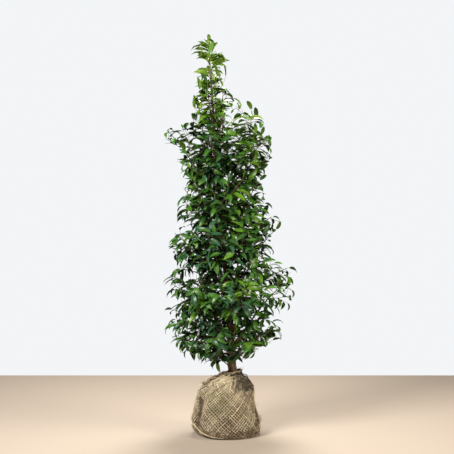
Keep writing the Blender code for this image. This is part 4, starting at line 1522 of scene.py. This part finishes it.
middles = [corner_line(share) for share in shares(CORNER_RINGS)]
work = bmesh.new()
for strand in range(STRANDS):
    points, radii = [], []
    for share, middle, way in zip(shares(CORNER_RINGS), middles, directions(middles)):
        turn = 2 * pi * strand / STRANDS + CORNER_TWIST * share
        swell = 0.75 + 0.35 * sin(5 * share + strand) + 0.20 * share
        points.append(middle + frame_along(way, turn) * STRAND_OUT * swell)
        radii.append(STRAND_RADIUS * swell)
    corners = drawn_out(work, points, radii, CORNER_SIDES)
    creased(corners, points, CORNER_SIDES, CORNER_CREASE, CORNER_CREASE_PITCH)
rust, tan = JUTE_COLOURS["rust"], JUTE_COLOURS["tan"]
corner_material = sackcloth("corner_cloth", (scaled(rust, 0.4), rust, tan), -1, 1)
piece(finished(work, "jute_corner"), [corner_material], ["jute_flap"])

# %% Loose fibres
FIBRE_RADIUS = 0.0006
FIBRE_RINGS = 4
FIBRE_SIDES = 3
FIBRE_BOW = 0.5
FIBRE_UP = (0.3, 0.5, 0.8)
CORNER_FIBRES, RIM_FIBRES, BALL_FIBRES, SIDE_FIBRES = 34, 46, 150, 14
SIDE_AWAY = Vector((0.8, -0.2, 0.5))
Fibre = namedtuple("Fibre", "root away length")
fibres = []
rng = Random(SEED + 5)


def scattered(direction, spread):
    return (direction + Vector([rng.gauss(0, spread) for _ in range(3)])).normalized()


def add_fibre(root, direction, spread, lengths):
    fibres.append(Fibre(root, scattered(direction, spread), rng.uniform(*lengths)))


for _ in range(CORNER_FIBRES):
    share = rng.uniform(0.72, 1.0)
    add_fibre(corner_line(share), towards(CORNER_AZIMUTH, 0.1), 0.5, (0.015, 0.034))
for _ in range(RIM_FIBRES):
    turn = rng.uniform(0, 2 * pi)
    radius, height = NECK_WALL[NECK_OUTSIDE]
    add_fibre(neck_point(turn, radius, height - 0.001), towards(turn, 1.4), 0.35, (0.006, 0.018))
for _ in range(BALL_FIBRES):
    turn = rng.uniform(0, 2 * pi)
    distance = rng.uniform(0.01, PROFILE_LENGTH - 0.02)
    root = ball_point(turn, distance, 0)
    outward = ball_point(turn, distance, 0.01) - root
    add_fibre(root, outward.normalized(), 0.6, (0.008, 0.022))
for _ in range(SIDE_FIBRES):
    turn = radians(rng.uniform(-16, 6))
    add_fibre(ball_point(turn, rng.uniform(0.07, 0.12), 0), SIDE_AWAY, 0.3, (0.012, 0.024))
lines = []
for fibre in fibres:
    bow = scattered(Vector((0, 0, -0.4)), 0.5) * FIBRE_BOW
    steps = shares(FIBRE_RINGS)
    lines.append([fibre.root + (fibre.away * step + bow * step**2) * fibre.length for step in steps])
lines = as_array(lines)
lines[:, :, 2] = np.maximum(lines[:, :, 2], FIBRE_RADIUS)
tints = np.array([rng.choice((PALE, TAN, BROWN)) for _ in fibres])
fibre_shape = straight_tube(FIBRE_RINGS, FIBRE_SIDES)
coordinates = bent(fibre_shape, lines, FIBRE_RADIUS, unit(np.array(FIBRE_UP)))
piece(joined("jute_fibres", fibre_shape, coordinates, tints[:, None]), JUTES)
